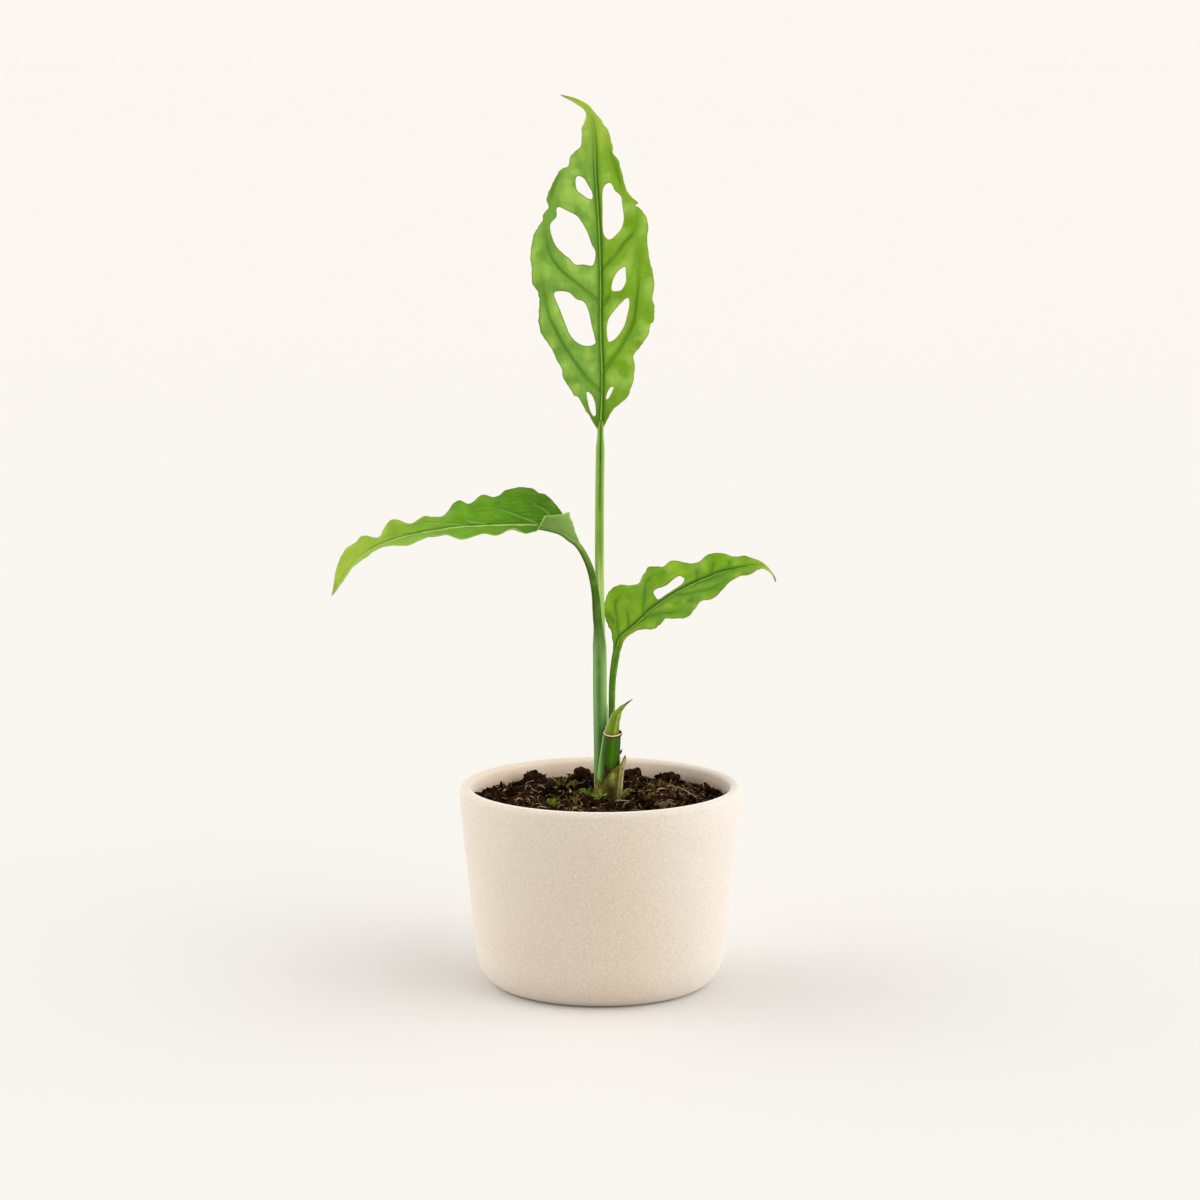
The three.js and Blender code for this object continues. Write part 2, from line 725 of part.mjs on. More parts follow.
function sheathGeometry(extra = 0) {
  const { steps, rows, fromAngle, toAngle, bottom, thickness } = DRY_SHEATH;
  const points = [];
  const triangles = [];
  const spot = (i, k, outside) => {
    const degrees = fromAngle + ((toAngle - fromAngle) * i) / steps;
    const angle = THREE.MathUtils.degToRad(degrees);
    const z = THREE.MathUtils.lerp(bottom, between(DRY_SHEATH.top, degrees) + extra, k / rows);
    const side = outside ? thickness / 2 + extra : -thickness / 2 - extra;
    const radius = between(DRY_SHEATH.radius, z) + side;
    const x = between(DRY_SHEATH.middle, z) + radius * Math.cos(angle);
    return new THREE.Vector3(x, DRY_SHEATH.y + radius * Math.sin(angle), z);
  };
  for (const outside of [true, false]) {
    for (let i = 0; i <= steps; i++) {
      for (let k = 0; k <= rows; k++) points.push(spot(i, k, outside));
    }
  }
  const at = (i, k, outside) => (outside ? 0 : (steps + 1) * (rows + 1)) + i * (rows + 1) + k;
  const quad = (a, b, c, d) => triangles.push([a, b, c], [a, c, d]);
  for (let i = 0; i < steps; i++) {
    for (let k = 0; k < rows; k++) {
      quad(at(i, k, true), at(i + 1, k, true), at(i + 1, k + 1, true), at(i, k + 1, true));
      quad(at(i, k, false), at(i, k + 1, false), at(i + 1, k + 1, false), at(i + 1, k, false));
    }
    quad(at(i, 0, false), at(i + 1, 0, false), at(i + 1, 0, true), at(i, 0, true));
    quad(at(i, rows, true), at(i + 1, rows, true), at(i + 1, rows, false), at(i, rows, false));
  }
  for (let k = 0; k < rows; k++) {
    quad(at(0, k, true), at(0, k + 1, true), at(0, k + 1, false), at(0, k, false));
    quad(at(steps, k, false), at(steps, k + 1, false), at(steps, k + 1, true), at(steps, k, true));
  }
  return closedGeometry(points, triangles);
}

// The cut stem, with its slanted top, the pocket that holds the bud, and the spur on its right

function stubSolid(clearOf) {
  const { cutter, cutTilt, cutHeight, path } = STUB;
  const [x, y] = path[path.length - 1];
  const slab = new THREE.BoxGeometry(cutter.side, cutter.side, cutter.depth);
  slab.translate(0, 0, cutter.depth / 2).rotateX(cutTilt).translate(x, y, cutHeight);
  const body = solidFrom(stalk(STUB)).subtract(solidFrom(slab)).add(solidFrom(stalk(SPUR)));
  return largestBody(clearOf.reduce((rest, other) => rest.subtract(other), body));
}

// The object

const grown = (shape) => solidFrom(stalk(shape, GAP));

const leftStalk = solidFrom(stalk(LEFT_STALK)).subtract(grown(UPPER_STALK));
const stub = stubSolid([grown(LEFT_STALK), grown(UPPER_STALK), grown(RIGHT_STALK), grown(BUD)]);
const stems = [UPPER_STALK, LEFT_STALK, RIGHT_STALK, STUB].map(grown);
const soil = [...stems, solidFrom(sheathGeometry(GAP))].reduce(
  (rest, stem) => rest.subtract(stem),
  solidFrom(soilGeometry()),
);

const plant = new THREE.Group();
plant.add(
  named("pot", potGeometry(), 0xdccfbf, 0.75),
  named("soil", geometryFrom(largestBody(soil)), 0x2e1f16, 0.95),
  named("blade_upper", bladeGeometry(UPPER_LEAF), 0x6aa521, 0.4),
  named("petiole_upper", stalk(UPPER_STALK), 0x7aa83a, 0.45),
  named("blade_left", bladeGeometry(LEFT_LEAF), 0x5c9a1e, 0.4),
  named("petiole_left", geometryFrom(largestBody(leftStalk)), 0x5f8f45, 0.45),
  named("blade_right", bladeGeometry(RIGHT_LEAF), 0x63a31f, 0.4),
  named("petiole_right", stalk(RIGHT_STALK), 0x4d8a1c, 0.45),
  named("stem_stub", geometryFrom(stub), 0x3f7a1a, 0.35),
  named("bud_sheath", stalk(BUD), 0x86a52c, 0.4),
  named("dry_sheath", sheathGeometry(), 0x8c8a52, 0.8),
);

export default plant;
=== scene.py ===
"""Looks of a young potted monstera obliqua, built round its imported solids.

The scene is in metres, and the sizes in this file are in millimetres. Node trees read places and
depths in metres, apart from the distances and flat places that a leaf's mesh holds, which stay in
millimetres. The origin is the middle of the pot's flat base, +Z is up, and the front of the plant
faces -Y.
"""

import logging
import math
from dataclasses import dataclass, field, replace
from enum import Enum
from typing import Any, Callable, Sequence

import bmesh
import bpy
import numpy as np
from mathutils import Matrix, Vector, noise
from mathutils.geometry import delaunay_2d_cdt
from mathutils.kdtree import KDTree


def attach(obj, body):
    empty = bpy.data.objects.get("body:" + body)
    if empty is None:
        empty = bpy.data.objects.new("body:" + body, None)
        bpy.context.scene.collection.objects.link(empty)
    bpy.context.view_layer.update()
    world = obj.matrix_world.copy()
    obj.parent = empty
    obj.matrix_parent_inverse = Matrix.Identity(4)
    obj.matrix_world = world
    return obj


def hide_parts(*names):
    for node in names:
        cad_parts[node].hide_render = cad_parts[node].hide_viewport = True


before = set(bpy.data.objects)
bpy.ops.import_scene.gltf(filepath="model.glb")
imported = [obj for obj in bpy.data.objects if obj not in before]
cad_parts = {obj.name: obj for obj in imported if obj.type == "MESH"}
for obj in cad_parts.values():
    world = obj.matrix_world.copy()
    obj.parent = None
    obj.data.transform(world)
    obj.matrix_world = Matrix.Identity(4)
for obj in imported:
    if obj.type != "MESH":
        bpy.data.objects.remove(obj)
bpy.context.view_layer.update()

log = logging.getLogger("potted_monstera")

MILLIMETRE = 0.001
ATTRIBUTE_KINDS = {
    1: ("FLOAT", "value"),
    3: ("FLOAT_VECTOR", "vector"),
    4: ("FLOAT_COLOR", "color"),
}

Table = Sequence[tuple[float, float]]
Points = Sequence[tuple[float, ...]]
Colour = tuple[float, float, float, float]
Socket = bpy.types.NodeSocket


def srgb(red: float, green: float, blue: float) -> Colour:
    """Turns a colour as the eye sees it into a linear one.

    Args:
        red: its red from 0 to 255.
        green: its green.
        blue: its blue.

    Returns:
        The linear colour that a socket takes.
    """
    parts = [value / 255 for value in (red, green, blue)]
    linear = [v / 12.92 if v <= 0.04045 else ((v + 0.055) / 1.055) ** 2.4 for v in parts]
    return (linear[0], linear[1], linear[2], 1.0)


# Shapes from tables


def between(table: Table, x: np.ndarray | float) -> np.ndarray:
    """The value at x between the knots of a table, joined by straight lines."""
    knots = np.asarray(table, float)
    return np.interp(x, knots[:, 0], knots[:, 1])


def eased(table: Table, x: np.ndarray | float) -> np.ndarray:
    """The value at x between the knots of a table, rounded off at the knots.

    Args:
        table: pairs of place and value, in order of place.
        x: the places to read.

    Returns:
        One value for each place.
    """
    knots = np.asarray(table, float)
    places, values = knots[:, 0], knots[:, 1]
    i = np.clip(np.searchsorted(places, x, side="right") - 1, 0, len(places) - 2)
    t = np.clip((x - places[i]) / (places[i + 1] - places[i]), 0, 1)
    return values[i] + (values[i + 1] - values[i]) * t * t * (3 - 2 * t)


def ramp(x: np.ndarray | float, low: float, high: float) -> np.ndarray:
    """0 below low, 1 above high, and a smooth rise between them."""
    t = np.clip((np.asarray(x, float) - low) / (high - low), 0, 1)
    return t * t * (3 - 2 * t)


def bell(x: np.ndarray | float, width: float) -> np.ndarray:
    """1 at x = 0, and down to 0 over about two widths on either side."""
    return np.exp(-((np.asarray(x, float) / width) ** 2))


def rough(points: np.ndarray, size: float, seed: float = 0.0, octaves: int = 3) -> np.ndarray:
    """Uneven values from about -1 to 1 that change over a distance of size.

    Args:
        points: the places, one row of three numbers each.
        size: how far apart the bumps lie.
        seed: a different number gives a different pattern.
        octaves: how many finer layers are added.

    Returns:
        One value for each place.
    """
    scaled = np.asarray(points, float) / size + seed * 17.31
    return np.array([noise.fractal(Vector(p), 1.0, 2.0, octaves) for p in scaled])


class Curve:
    """A smooth line through points, read by the distance along it."""

    def __init__(self, points: Points, closed: bool = False, steps: int = 40) -> None:
        """Lays the line through the points.

        Args:
            points: the places that it goes through.
            closed: whether it comes back to its start.
            steps: short straight pieces between two of the points.
        """
        knots = np.asarray(points, float)
        if closed:
            padded = np.vstack([knots[-1:], knots, knots[:2]])
        else:
            padded = np.vstack([2 * knots[0] - knots[1], knots, 2 * knots[-1] - knots[-2]])
        t = np.linspace(0, 1, steps, endpoint=False)[:, None]
        spans = [
            0.5
            * (
                2 * b
                + (c - a) * t
                + (2 * a - 5 * b + 4 * c - d) * t**2
                + (3 * b - a - 3 * c + d) * t**3
            )
            for a, b, c, d in zip(padded, padded[1:], padded[2:], padded[3:])
        ]
        self.points = np.vstack([*spans, knots[:1] if closed else knots[-1:]])
        lengths = np.linalg.norm(np.diff(self.points, axis=0), axis=1)
        self.places = np.concatenate([[0], np.cumsum(lengths)])
        self.length = float(self.places[-1])

    def at(self, distance: np.ndarray | float) -> np.ndarray:
        """The places at these distances along the line."""
        return np.stack([np.interp(distance, self.places, axis) for axis in self.points.T], -1)

    def direction(self, distance: np.ndarray | float, reach: float = 1.5) -> np.ndarray:
        """Reads the line's direction.

        Args:
            distance: where it is read.
            reach: how far it looks back and ahead.

        Returns:
            One direction for each distance.
        """
        inside = np.clip(distance, 0, self.length)
        ahead = self.at(np.minimum(self.length, inside + reach))
        step = ahead - self.at(np.maximum(0, inside - reach))
        return step / np.linalg.norm(step, axis=-1, keepdims=True)

    def spaced(self, step: float) -> np.ndarray:
        """Evenly spaced places round a closed line."""
        count = max(7, round(self.length / step))
        return self.at(np.linspace(0, self.length, count, endpoint=False))


def turns(count: int) -> np.ndarray:
    """Evenly spaced turns round a full circle, in radians."""
    return np.radians(np.linspace(0, 360, count, endpoint=False))


def unit(vectors: np.ndarray) -> np.ndarray:
    """The same directions with a length of one."""
    return vectors / np.maximum(np.linalg.norm(vectors, axis=-1, keepdims=True), 1e-9)


def is_inside(places: np.ndarray, loop: np.ndarray) -> np.ndarray:
    """Which flat places lie inside a closed loop.

    Args:
        places: the flat places.
        loop: the loop's corners.

    Returns:
        True or false for each place.
    """
    x, y = places[:, :1], places[:, 1:2]
    x0, y0 = loop[:, 0], loop[:, 1]
    x1, y1 = np.roll(x0, 1), np.roll(y0, 1)
    rise = np.where(y1 == y0, 1e-12, y1 - y0)
    crossed = ((y0 > y) != (y1 > y)) & (x < (x1 - x0) * (y - y0) / rise + x0)
    return crossed.sum(axis=1) % 2 == 1


def distance_to(places: np.ndarray, lines: Sequence[np.ndarray], far: float) -> np.ndarray:
    """How far flat places lie from the nearest of some lines.

    Args:
        places: the flat places.
        lines: each line as closely spaced flat places; a third number lifts a place off the flat.
        far: the distance given where there is no line.

    Returns:
        One distance for each place.
    """
    if not len(lines):
        return np.full(len(places), far)
    spots = np.vstack(lines)
    tree = KDTree(len(spots))
    for index, (x, y, *lift) in enumerate(spots):
        tree.insert((x, y, sum(lift)), index)
    tree.balance()
    return np.array([min(far, tree.find((x, y, 0))[2]) for x, y in places])


def thinned(spots: np.ndarray, gap: float) -> np.ndarray:
    """Thins out flat spots.

    Args:
        spots: the flat spots.
        gap: how near two of them may lie.

    Returns:
        The spots without those that lie too near to one before them.
    """
    cells: dict[tuple[int, int], list[np.ndarray]] = {}
    kept = []
    for spot in spots:
        column, row = (int(math.floor(part / gap)) for part in spot)
        near = [
            other
            for i in (column - 1, column, column + 1)
            for j in (row - 1, row, row + 1)
            for other in cells.get((i, j), [])
        ]
        if all(np.hypot(*(spot - other)) >= gap for other in near):
            cells.setdefault((column, row), []).append(spot)
            kept.append(spot)
    return np.array(kept)


def vertex_normals(points: np.ndarray, faces: np.ndarray) -> np.ndarray:
    """The mean outward direction at each point of some triangles.

    Args:
        points: the places of the corners.
        faces: the three corners of each triangle.

    Returns:
        One direction for each point.
    """
    a, b, c = (points[faces[:, k]] for k in range(3))
    cross = np.cross(b - a, c - a)
    normals = np.zeros_like(points)
    for k in range(3):
        np.add.at(normals, faces[:, k], cross)
    return unit(normals)


# Meshes


@dataclass
class Body:
    """Points in millimetres, faces, and values for each point that a finish reads."""

    points: np.ndarray
    faces: list[tuple[int, ...]]
    values: dict[str, np.ndarray] = field(default_factory=dict)

    def joined(self, others: Sequence["Body"]) -> "Body":
        """Joins bodies into one.

        Args:
            others: the bodies that are added to this one.

        Returns:
            The whole, with the values that all of them have.
        """
        bodies = [self, *others]
        names = set.intersection(*(set(body.values) for body in bodies))
        starts = np.cumsum([0] + [len(body.points) for body in bodies])
        faces = [
            tuple(corner + int(start) for corner in face)
            for body, start in zip(bodies, starts)
            for face in body.faces
        ]
        values = {name: np.concatenate([b.values[name] for b in bodies]) for name in names}
        return Body(np.vstack([body.points for body in bodies]), faces, values)


def placed(name: str, data: Any) -> bpy.types.Object:
    """Puts a new object into the scene.

    Args:
        name: the object's name.
        data: its mesh, light or camera.

    Returns:
        The object.
    """
    made = bpy.data.objects.new(name, data)
    bpy.context.scene.collection.objects.link(made)
    return made


def show(
    name: str,
    body: Body,
    material: bpy.types.Material,
    nodes: Sequence[str] = (),
    sharp: float | None = 50.0,
) -> bpy.types.Object:
    """Makes a piece of the plant or its pot and ties it to the frame.

    Args:
        name: the piece's name.
        body: its points, faces and values.
        material: its finish.
        nodes: the CAD nodes that it stands for.
        sharp: edges that turn by more degrees stay crisp, and None leaves all faces flat.

    Returns:
        The new object.
    """
    mesh = bpy.data.meshes.new(name)
    mesh.from_pydata((body.points * MILLIMETRE).tolist(), [], body.faces)
    for key, values in body.values.items():
        kind, part = ATTRIBUTE_KINDS[values.size // len(values)]
        attribute = mesh.attributes.new(key, kind, "POINT")
        attribute.data.foreach_set(part, np.ascontiguousarray(values, np.float32).ravel())
    mesh.validate(clean_customdata=False)
    if sharp is not None:
        mesh.shade_smooth()
        mesh.set_sharp_from_angle(angle=math.radians(sharp))
    mesh.materials.append(material)
    piece = placed(name, mesh)
    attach(piece, "root")
    if nodes:
        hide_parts(*nodes)
    log.info("%s: %d points, %d faces", name, len(mesh.vertices), len(mesh.polygons))
    return piece


def grid_faces(rows: int, columns: int, wrap: bool) -> list[tuple[int, ...]]:
    """Four-sided faces between rows of points.

    Args:
        rows: how many rows of points there are.
        columns: how many points each row has.
        wrap: whether the last column joins the first.

    Returns:
        The faces, as corners counted row by row.
    """
    spots = np.arange(rows * columns).reshape(rows, columns)
    if wrap:
        spots = np.column_stack([spots, spots[:, 0]])
    corners = [spots[:-1, :-1], spots[:-1, 1:], spots[1:, 1:], spots[1:, :-1]]
    return list(map(tuple, np.stack(corners, -1).reshape(-1, 4).tolist()))


def tube_faces(rows: int, columns: int) -> list[tuple[int, ...]]:
    """Faces between closed rows of points, and over the first and the last row.

    Args:
        rows: how many rows of points there are.
        columns: how many points each row has.

    Returns:
        The faces, as corners counted row by row.
    """
    last = (rows - 1) * columns
    ends = [tuple(range(columns))[::-1], tuple(range(last, last + columns))]
    return grid_faces(rows, columns, True) + ends


def round_ball(detail: int) -> tuple[np.ndarray, np.ndarray]:
    """A ball of even triangles with a radius of one.

    Args:
        detail: how finely it is divided.

    Returns:
        Its points, and the corners of its triangles.
    """
    made = bmesh.new()
    bmesh.ops.create_icosphere(made, subdivisions=detail, radius=1.0)
    points = np.array([vertex.co[:] for vertex in made.verts])
    corners = np.array([[vertex.index for vertex in face.verts] for face in made.faces])
    made.free()
    return points, corners


# Node trees


class Wires:
    """Adds the nodes of one tree and joins them."""

    def __init__(self, tree: bpy.types.NodeTree) -> None:
        """Starts on a tree."""
        self.tree = tree

    def node(self, kind: str, inputs: dict[Any, Any] | None = None, **settings: Any) -> Any:
        """Adds a node.

        Args:
            kind: the node's type in Blender.
            inputs: a socket or a value for each named or numbered input.
            settings: the node's own settings.

        Returns:
            The new node.
        """
        made = self.tree.nodes.new(kind)
        for key, value in settings.items():
            setattr(made, key, value)
        for key, value in (inputs or {}).items():
            self.feed(made.inputs[key], value)
        return made

    def feed(self, socket: Socket, value: Any) -> None:
        """Joins a socket to an input, or sets the input's own value.

        Args:
            socket: the input.
            value: another node's socket, or a plain value.
        """
        if isinstance(value, Socket):
            self.tree.links.new(value, socket)
        else:
            socket.default_value = value

    def math(self, operation: str, first: Any, *others: Any) -> Socket:
        """Works out a sum, product or other operation.

        Args:
            operation: its name in Blender.
            first: the value to start from.
            others: the values that are taken in after it, in turn.

        Returns:
            The result's socket.
        """
        for other in others or (0.0,):
            inputs = {0: first, 1: other}
            first = self.node("ShaderNodeMath", inputs, operation=operation).outputs[0]
        return first

    def times(self, first: Any, *others: Any) -> Socket:
        """The product of some values, without a node for a factor of one."""
        factors = [other for other in others if isinstance(other, Socket) or other != 1]
        return self.math("MULTIPLY", first, *factors) if factors else first

    def ramp(self, value: Any, low: Any, high: Any, a: float = 0.0, b: float = 1.0) -> Socket:
        """Changes a value smoothly from a to b.

        Args:
            value: what is read.
            low: the value at which the result is a.
            high: the value at which the result is b.
            a: the result up to low.
            b: the result from high on.

        Returns:
            The result's socket.
        """
        inputs = {"Value": value, "From Min": low, "From Max": high, "To Min": a, "To Max": b}
        made = self.node("ShaderNodeMapRange", inputs, interpolation_type="SMOOTHSTEP")
        return made.outputs[0]

    def noise(self, place: Any, scale: Any, detail: Any) -> Any:
        """The outputs of a noise texture."""
        inputs = {"Vector": place, "Scale": scale, "Detail": detail}
        return self.node("ShaderNodeTexNoise", inputs).outputs

    def split(self, place: Any) -> Any:
        """The three parts of a place."""
        return self.node("ShaderNodeSeparateXYZ", {0: place}).outputs

    def mix(self, share: Any, a: Any, b: Any, blend: str = "MIX") -> Socket:
        """Two colours mixed by a share of the second."""
        inputs = {0: share, 6: a, 7: b}
        return self.node("ShaderNodeMix", inputs, data_type="RGBA", blend_type=blend).outputs[2]

    def value(self, name: str, output: str = "Fac") -> Socket:
        """A value that the mesh holds for each point."""
        return self.node("ShaderNodeAttribute", attribute_name=name).outputs[output]

    def group(self, tree: bpy.types.NodeTree, inputs: dict[str, Any], output: str) -> Socket:
        """One output of a node group that is placed with its own values."""
        return self.node("ShaderNodeGroup", inputs, node_tree=tree).outputs[output]


def new_group(name: str, inputs: dict[str, float | None], output: str) -> tuple:
    """Starts a node group that puts out one number.

    Args:
        name: the group's name.
        inputs: the first value of each input, or None where the input is a place.
        output: the output's name.

    Returns:
        The group, its wires, its inputs by name, and its output.
    """
    tree = bpy.data.node_groups.new(name, "ShaderNodeTree")
    for key, value in inputs.items():
        kind = "NodeSocketVector" if value is None else "NodeSocketFloat"
        socket = tree.interface.new_socket(key, in_out="INPUT", socket_type=kind)
        if value is not None:
            socket.default_value = value
    tree.interface.new_socket(output, in_out="OUTPUT", socket_type="NodeSocketFloat")
    wires = Wires(tree)
    given = wires.node("NodeGroupInput").outputs
    return tree, wires, given, wires.node("NodeGroupOutput").inputs[output]


class Effects:
    """The node groups that more than one finish uses, each built once."""

    def __init__(self) -> None:
        """Builds the groups."""
        self.mottle = self._mottle()
        self.streaks = self._streaks()
        self.line = self._line()
        self.grain = self._grain()
        self.net = self._net()

    @staticmethod
    def _mottle() -> bpy.types.NodeTree:
        """Soft patches from 0 to 1.

        Returns:
            The group, with the output Mask.
        """
        first = {"Place": None, "Scale": 1.0, "Low": 0.35, "High": 0.65, "Detail": 3.0}
        tree, wires, given, made = new_group("soft_mottle", first, "Mask")
        cloud = wires.noise(given["Place"], given["Scale"], given["Detail"])
        wires.feed(made, wires.ramp(cloud["Fac"], given["Low"], given["High"]))
        return tree

    @staticmethod
    def _streaks(detail: float = 4.0, low: float = 0.3, high: float = 0.7) -> bpy.types.NodeTree:
        """Fine fibres from 0 to 1 that run along Z.

        Args:
            detail: how many finer layers of noise they have.
            low: the noise at which a fibre starts.
            high: the noise at which it is full.

        Returns:
            The group, with the output Mask.
        """
        first = {"Place": None, "Scale": 1.0, "Length": 12.0}
        tree, wires, given, made = new_group("long_streaks", first, "Mask")
        x, y, z = wires.split(given["Place"])
        slow = wires.math("DIVIDE", z, given["Length"])
        place = wires.node("ShaderNodeCombineXYZ", {0: x, 1: y, 2: slow}).outputs[0]
        fibres = wires.noise(place, given["Scale"], detail)
        wires.feed(made, wires.ramp(fibres["Fac"], low, high))
        return tree

    @staticmethod
    def _line() -> bpy.types.NodeTree:
        """1 on a line and 0 away from it, by the distance from the line.

        Returns:
            The group, with the output Mask.
        """
        first = {"Distance": 1.0, "Width": 0.3, "Soft": 0.3}
        tree, wires, given, made = new_group("line_by_distance", first, "Mask")
        outer = wires.math("ADD", given["Width"], given["Soft"])
        wires.feed(made, wires.ramp(given["Distance"], given["Width"], outer, 1.0, 0.0))
        return tree

    @staticmethod
    def _grain(finer: float = 3.1, fine_share: float = 0.5) -> bpy.types.NodeTree:
        """A fine uneven height, from two layers of noise.

        Args:
            finer: how much finer the second layer is.
            fine_share: how high it is.

        Returns:
            The group, with the output Height.
        """
        first = {"Place": None, "Scale": 1000.0}
        tree, wires, given, made = new_group("fine_grain", first, "Height")
        coarse = wires.noise(given["Place"], given["Scale"], 2.0)
        fine = wires.noise(given["Place"], wires.times(given["Scale"], finer), 1.0)
        fine = wires.times(fine["Fac"], fine_share)
        wires.feed(made, wires.math("ADD", coarse["Fac"], fine))
        return tree

    @staticmethod
    def _net() -> bpy.types.NodeTree:
        """1 on the lines of a fine uneven net and 0 between them.

        Returns:
            The group, with the output Mask.
        """
        first = {"Place": None, "Scale": 1.0, "Width": 0.12}
        tree, wires, given, made = new_group("fine_net", first, "Mask")
        cloud = wires.noise(given["Place"], given["Scale"], 1.0)
        both = {0: cloud["Color"], 1: given["Place"]}
        bent = wires.node("ShaderNodeVectorMath", both, operation="ADD").outputs[0]
        inputs = {"Vector": bent, "Scale": given["Scale"]}
        cells = wires.node("ShaderNodeTexVoronoi", inputs, feature="DISTANCE_TO_EDGE").outputs
        wires.feed(made, wires.ramp(cells["Distance"], 0.0, given["Width"], 1.0, 0.0))
        return tree


@dataclass(frozen=True)
class Patches:
    """Soft patches: their scale, the noise at which they start and are full, and their share."""

    scale: float
    low: float
    high: float
    share: float = 1.0
    detail: float = 3.0


@dataclass(frozen=True)
class Band:
    """A painted line: its half width, the soft edge beside it, and its share."""

    width: float
    soft: float
    share: float = 1.0


@dataclass(frozen=True)
class Net:
    """A fine net of lines: its scale, the width of its lines, and its share."""

    scale: float
    width: float
    share: float


@dataclass(frozen=True)
class Change:
    """A smooth change from one share to another between two places."""

    low: float
    high: float
    a: float = 0.0
    b: float = 1.0


@dataclass(frozen=True)
class Streaks:
    """Fibres along Z: their scale and length, and their depth in metres and strength as relief."""

    scale: float
    length: float
    depth: float
    strength: float


@dataclass(frozen=True)
class Grain:
    """Fine roughness: its scale, its depth in metres, and its strength."""

    scale: float
    depth: float
    strength: float


class Dressing(Wires):
    """One material while it is being wired."""

    def __init__(self, name: str, effects: Effects) -> None:
        """Starts an empty material with its shader and output.

        Args:
            name: the material's name.
            effects: the shared node groups.
        """
        self.material = bpy.data.materials.new(name)
        self.material.use_nodes = True
        self.material.node_tree.nodes.clear()
        super().__init__(self.material.node_tree)
        self.effects = effects
        self.shader = self.node("ShaderNodeBsdfPrincipled")
        self.output = self.node("ShaderNodeOutputMaterial")
        self.feed(self.output.inputs["Surface"], self.shader.outputs[0])
        self.place = self.node("ShaderNodeTexCoord").outputs["Object"]

    def patches(self, patches: Patches, place: Socket | None = None) -> Socket:
        """Lays out soft patches.

        Args:
            patches: their sizes.
            place: where each point lies; by default, in the object's own metres.

        Returns:
            Their mask.
        """
        inputs = {"Place": place or self.place, "Scale": patches.scale, "Low": patches.low}
        inputs |= {"High": patches.high, "Detail": patches.detail}
        return self.times(self.group(self.effects.mottle, inputs, "Mask"), patches.share)

    def streaks(self, streaks: Streaks) -> Socket:
        """Lays out fibres along Z, which also stand out as relief.

        Args:
            streaks: their sizes.

        Returns:
            Their mask.
        """
        inputs = {"Place": self.place, "Scale": streaks.scale, "Length": streaks.length}
        mask = self.group(self.effects.streaks, inputs, "Mask")
        self.bump(mask, streaks.depth, streaks.strength)
        return mask

    def band(self, distance: Socket, band: Band) -> Socket:
        """The mask of a line, by the distance from it."""
        inputs = {"Distance": distance, "Width": band.width, "Soft": band.soft}
        return self.times(self.group(self.effects.line, inputs, "Mask"), band.share)

    def net(self, net: Net, place: Socket) -> Socket:
        """The mask of a fine uneven net of lines."""
        inputs = {"Place": place, "Scale": net.scale, "Width": net.width}
        return self.times(self.group(self.effects.net, inputs, "Mask"), net.share)

    def change(self, value: Any, change: Change) -> Socket:
        """A smooth change over a value."""
        return self.ramp(value, change.low, change.high, change.a, change.b)

    def cover(self, colour: Any, over: Any, *masks: Any) -> Socket:
        """A colour with another one over it, by the product of some masks and shares."""
        return self.mix(self.times(*masks), colour, over)

    def darkened(self, colour: Any, tint: Colour, *masks: Any) -> Socket:
        """A colour with its own darker tint over it, by the product of some masks and shares."""
        return self.cover(colour, self.mix(1.0, colour, tint, "MULTIPLY"), *masks)

    def bump(self, height: Socket, depth: float, strength: float) -> None:
        """Roughens the surface by a height, over a depth in metres."""
        inputs = {"Height": height, "Distance": depth, "Strength": strength}
        self.feed(self.shader.inputs["Normal"], self.node("ShaderNodeBump", inputs).outputs[0])

    def grain(self, grain: Grain) -> None:
        """Roughens the surface finely."""
        inputs = {"Place": self.place, "Scale": grain.scale}
        self.bump(self.group(self.effects.grain, inputs, "Height"), grain.depth, grain.strength)

    def finish(self, colour: Any, roughness: Any, specular: float, glow: float = 0.0) -> None:
        """Gives the shader its colour and gloss.

        Args:
            colour: the surface's colour.
            roughness: how rough it is.
            specular: how much it mirrors.
            glow: the share of the light that shines through in the same colour.
        """
        self.feed(self.shader.inputs["Base Color"], colour)
        self.feed(self.shader.inputs["Roughness"], roughness)
        self.shader.inputs["Specular IOR Level"].default_value = specular
        if glow:
            through = self.node("ShaderNodeBsdfTranslucent", {"Color": colour}).outputs[0]
            inputs = {0: glow, 1: self.shader.outputs[0], 2: through}
            both = self.node("ShaderNodeMixShader", inputs).outputs[0]
            self.feed(self.output.inputs["Surface"], both)


# Finishes


class Finish:
    """A finish that a piece's material is wired from."""

    def build(self, name: str, effects: Effects) -> bpy.types.Material:
        """Makes a material of this finish.

        Args:
            name: the material's name.
            effects: the shared node groups.

        Returns:
            The material.
        """
        skin = Dressing(name, effects)
        self.wire(skin)
        return skin.material

    def wire(self, skin: Dressing) -> None:
        """Wires the finish's own nodes."""
        raise NotImplementedError


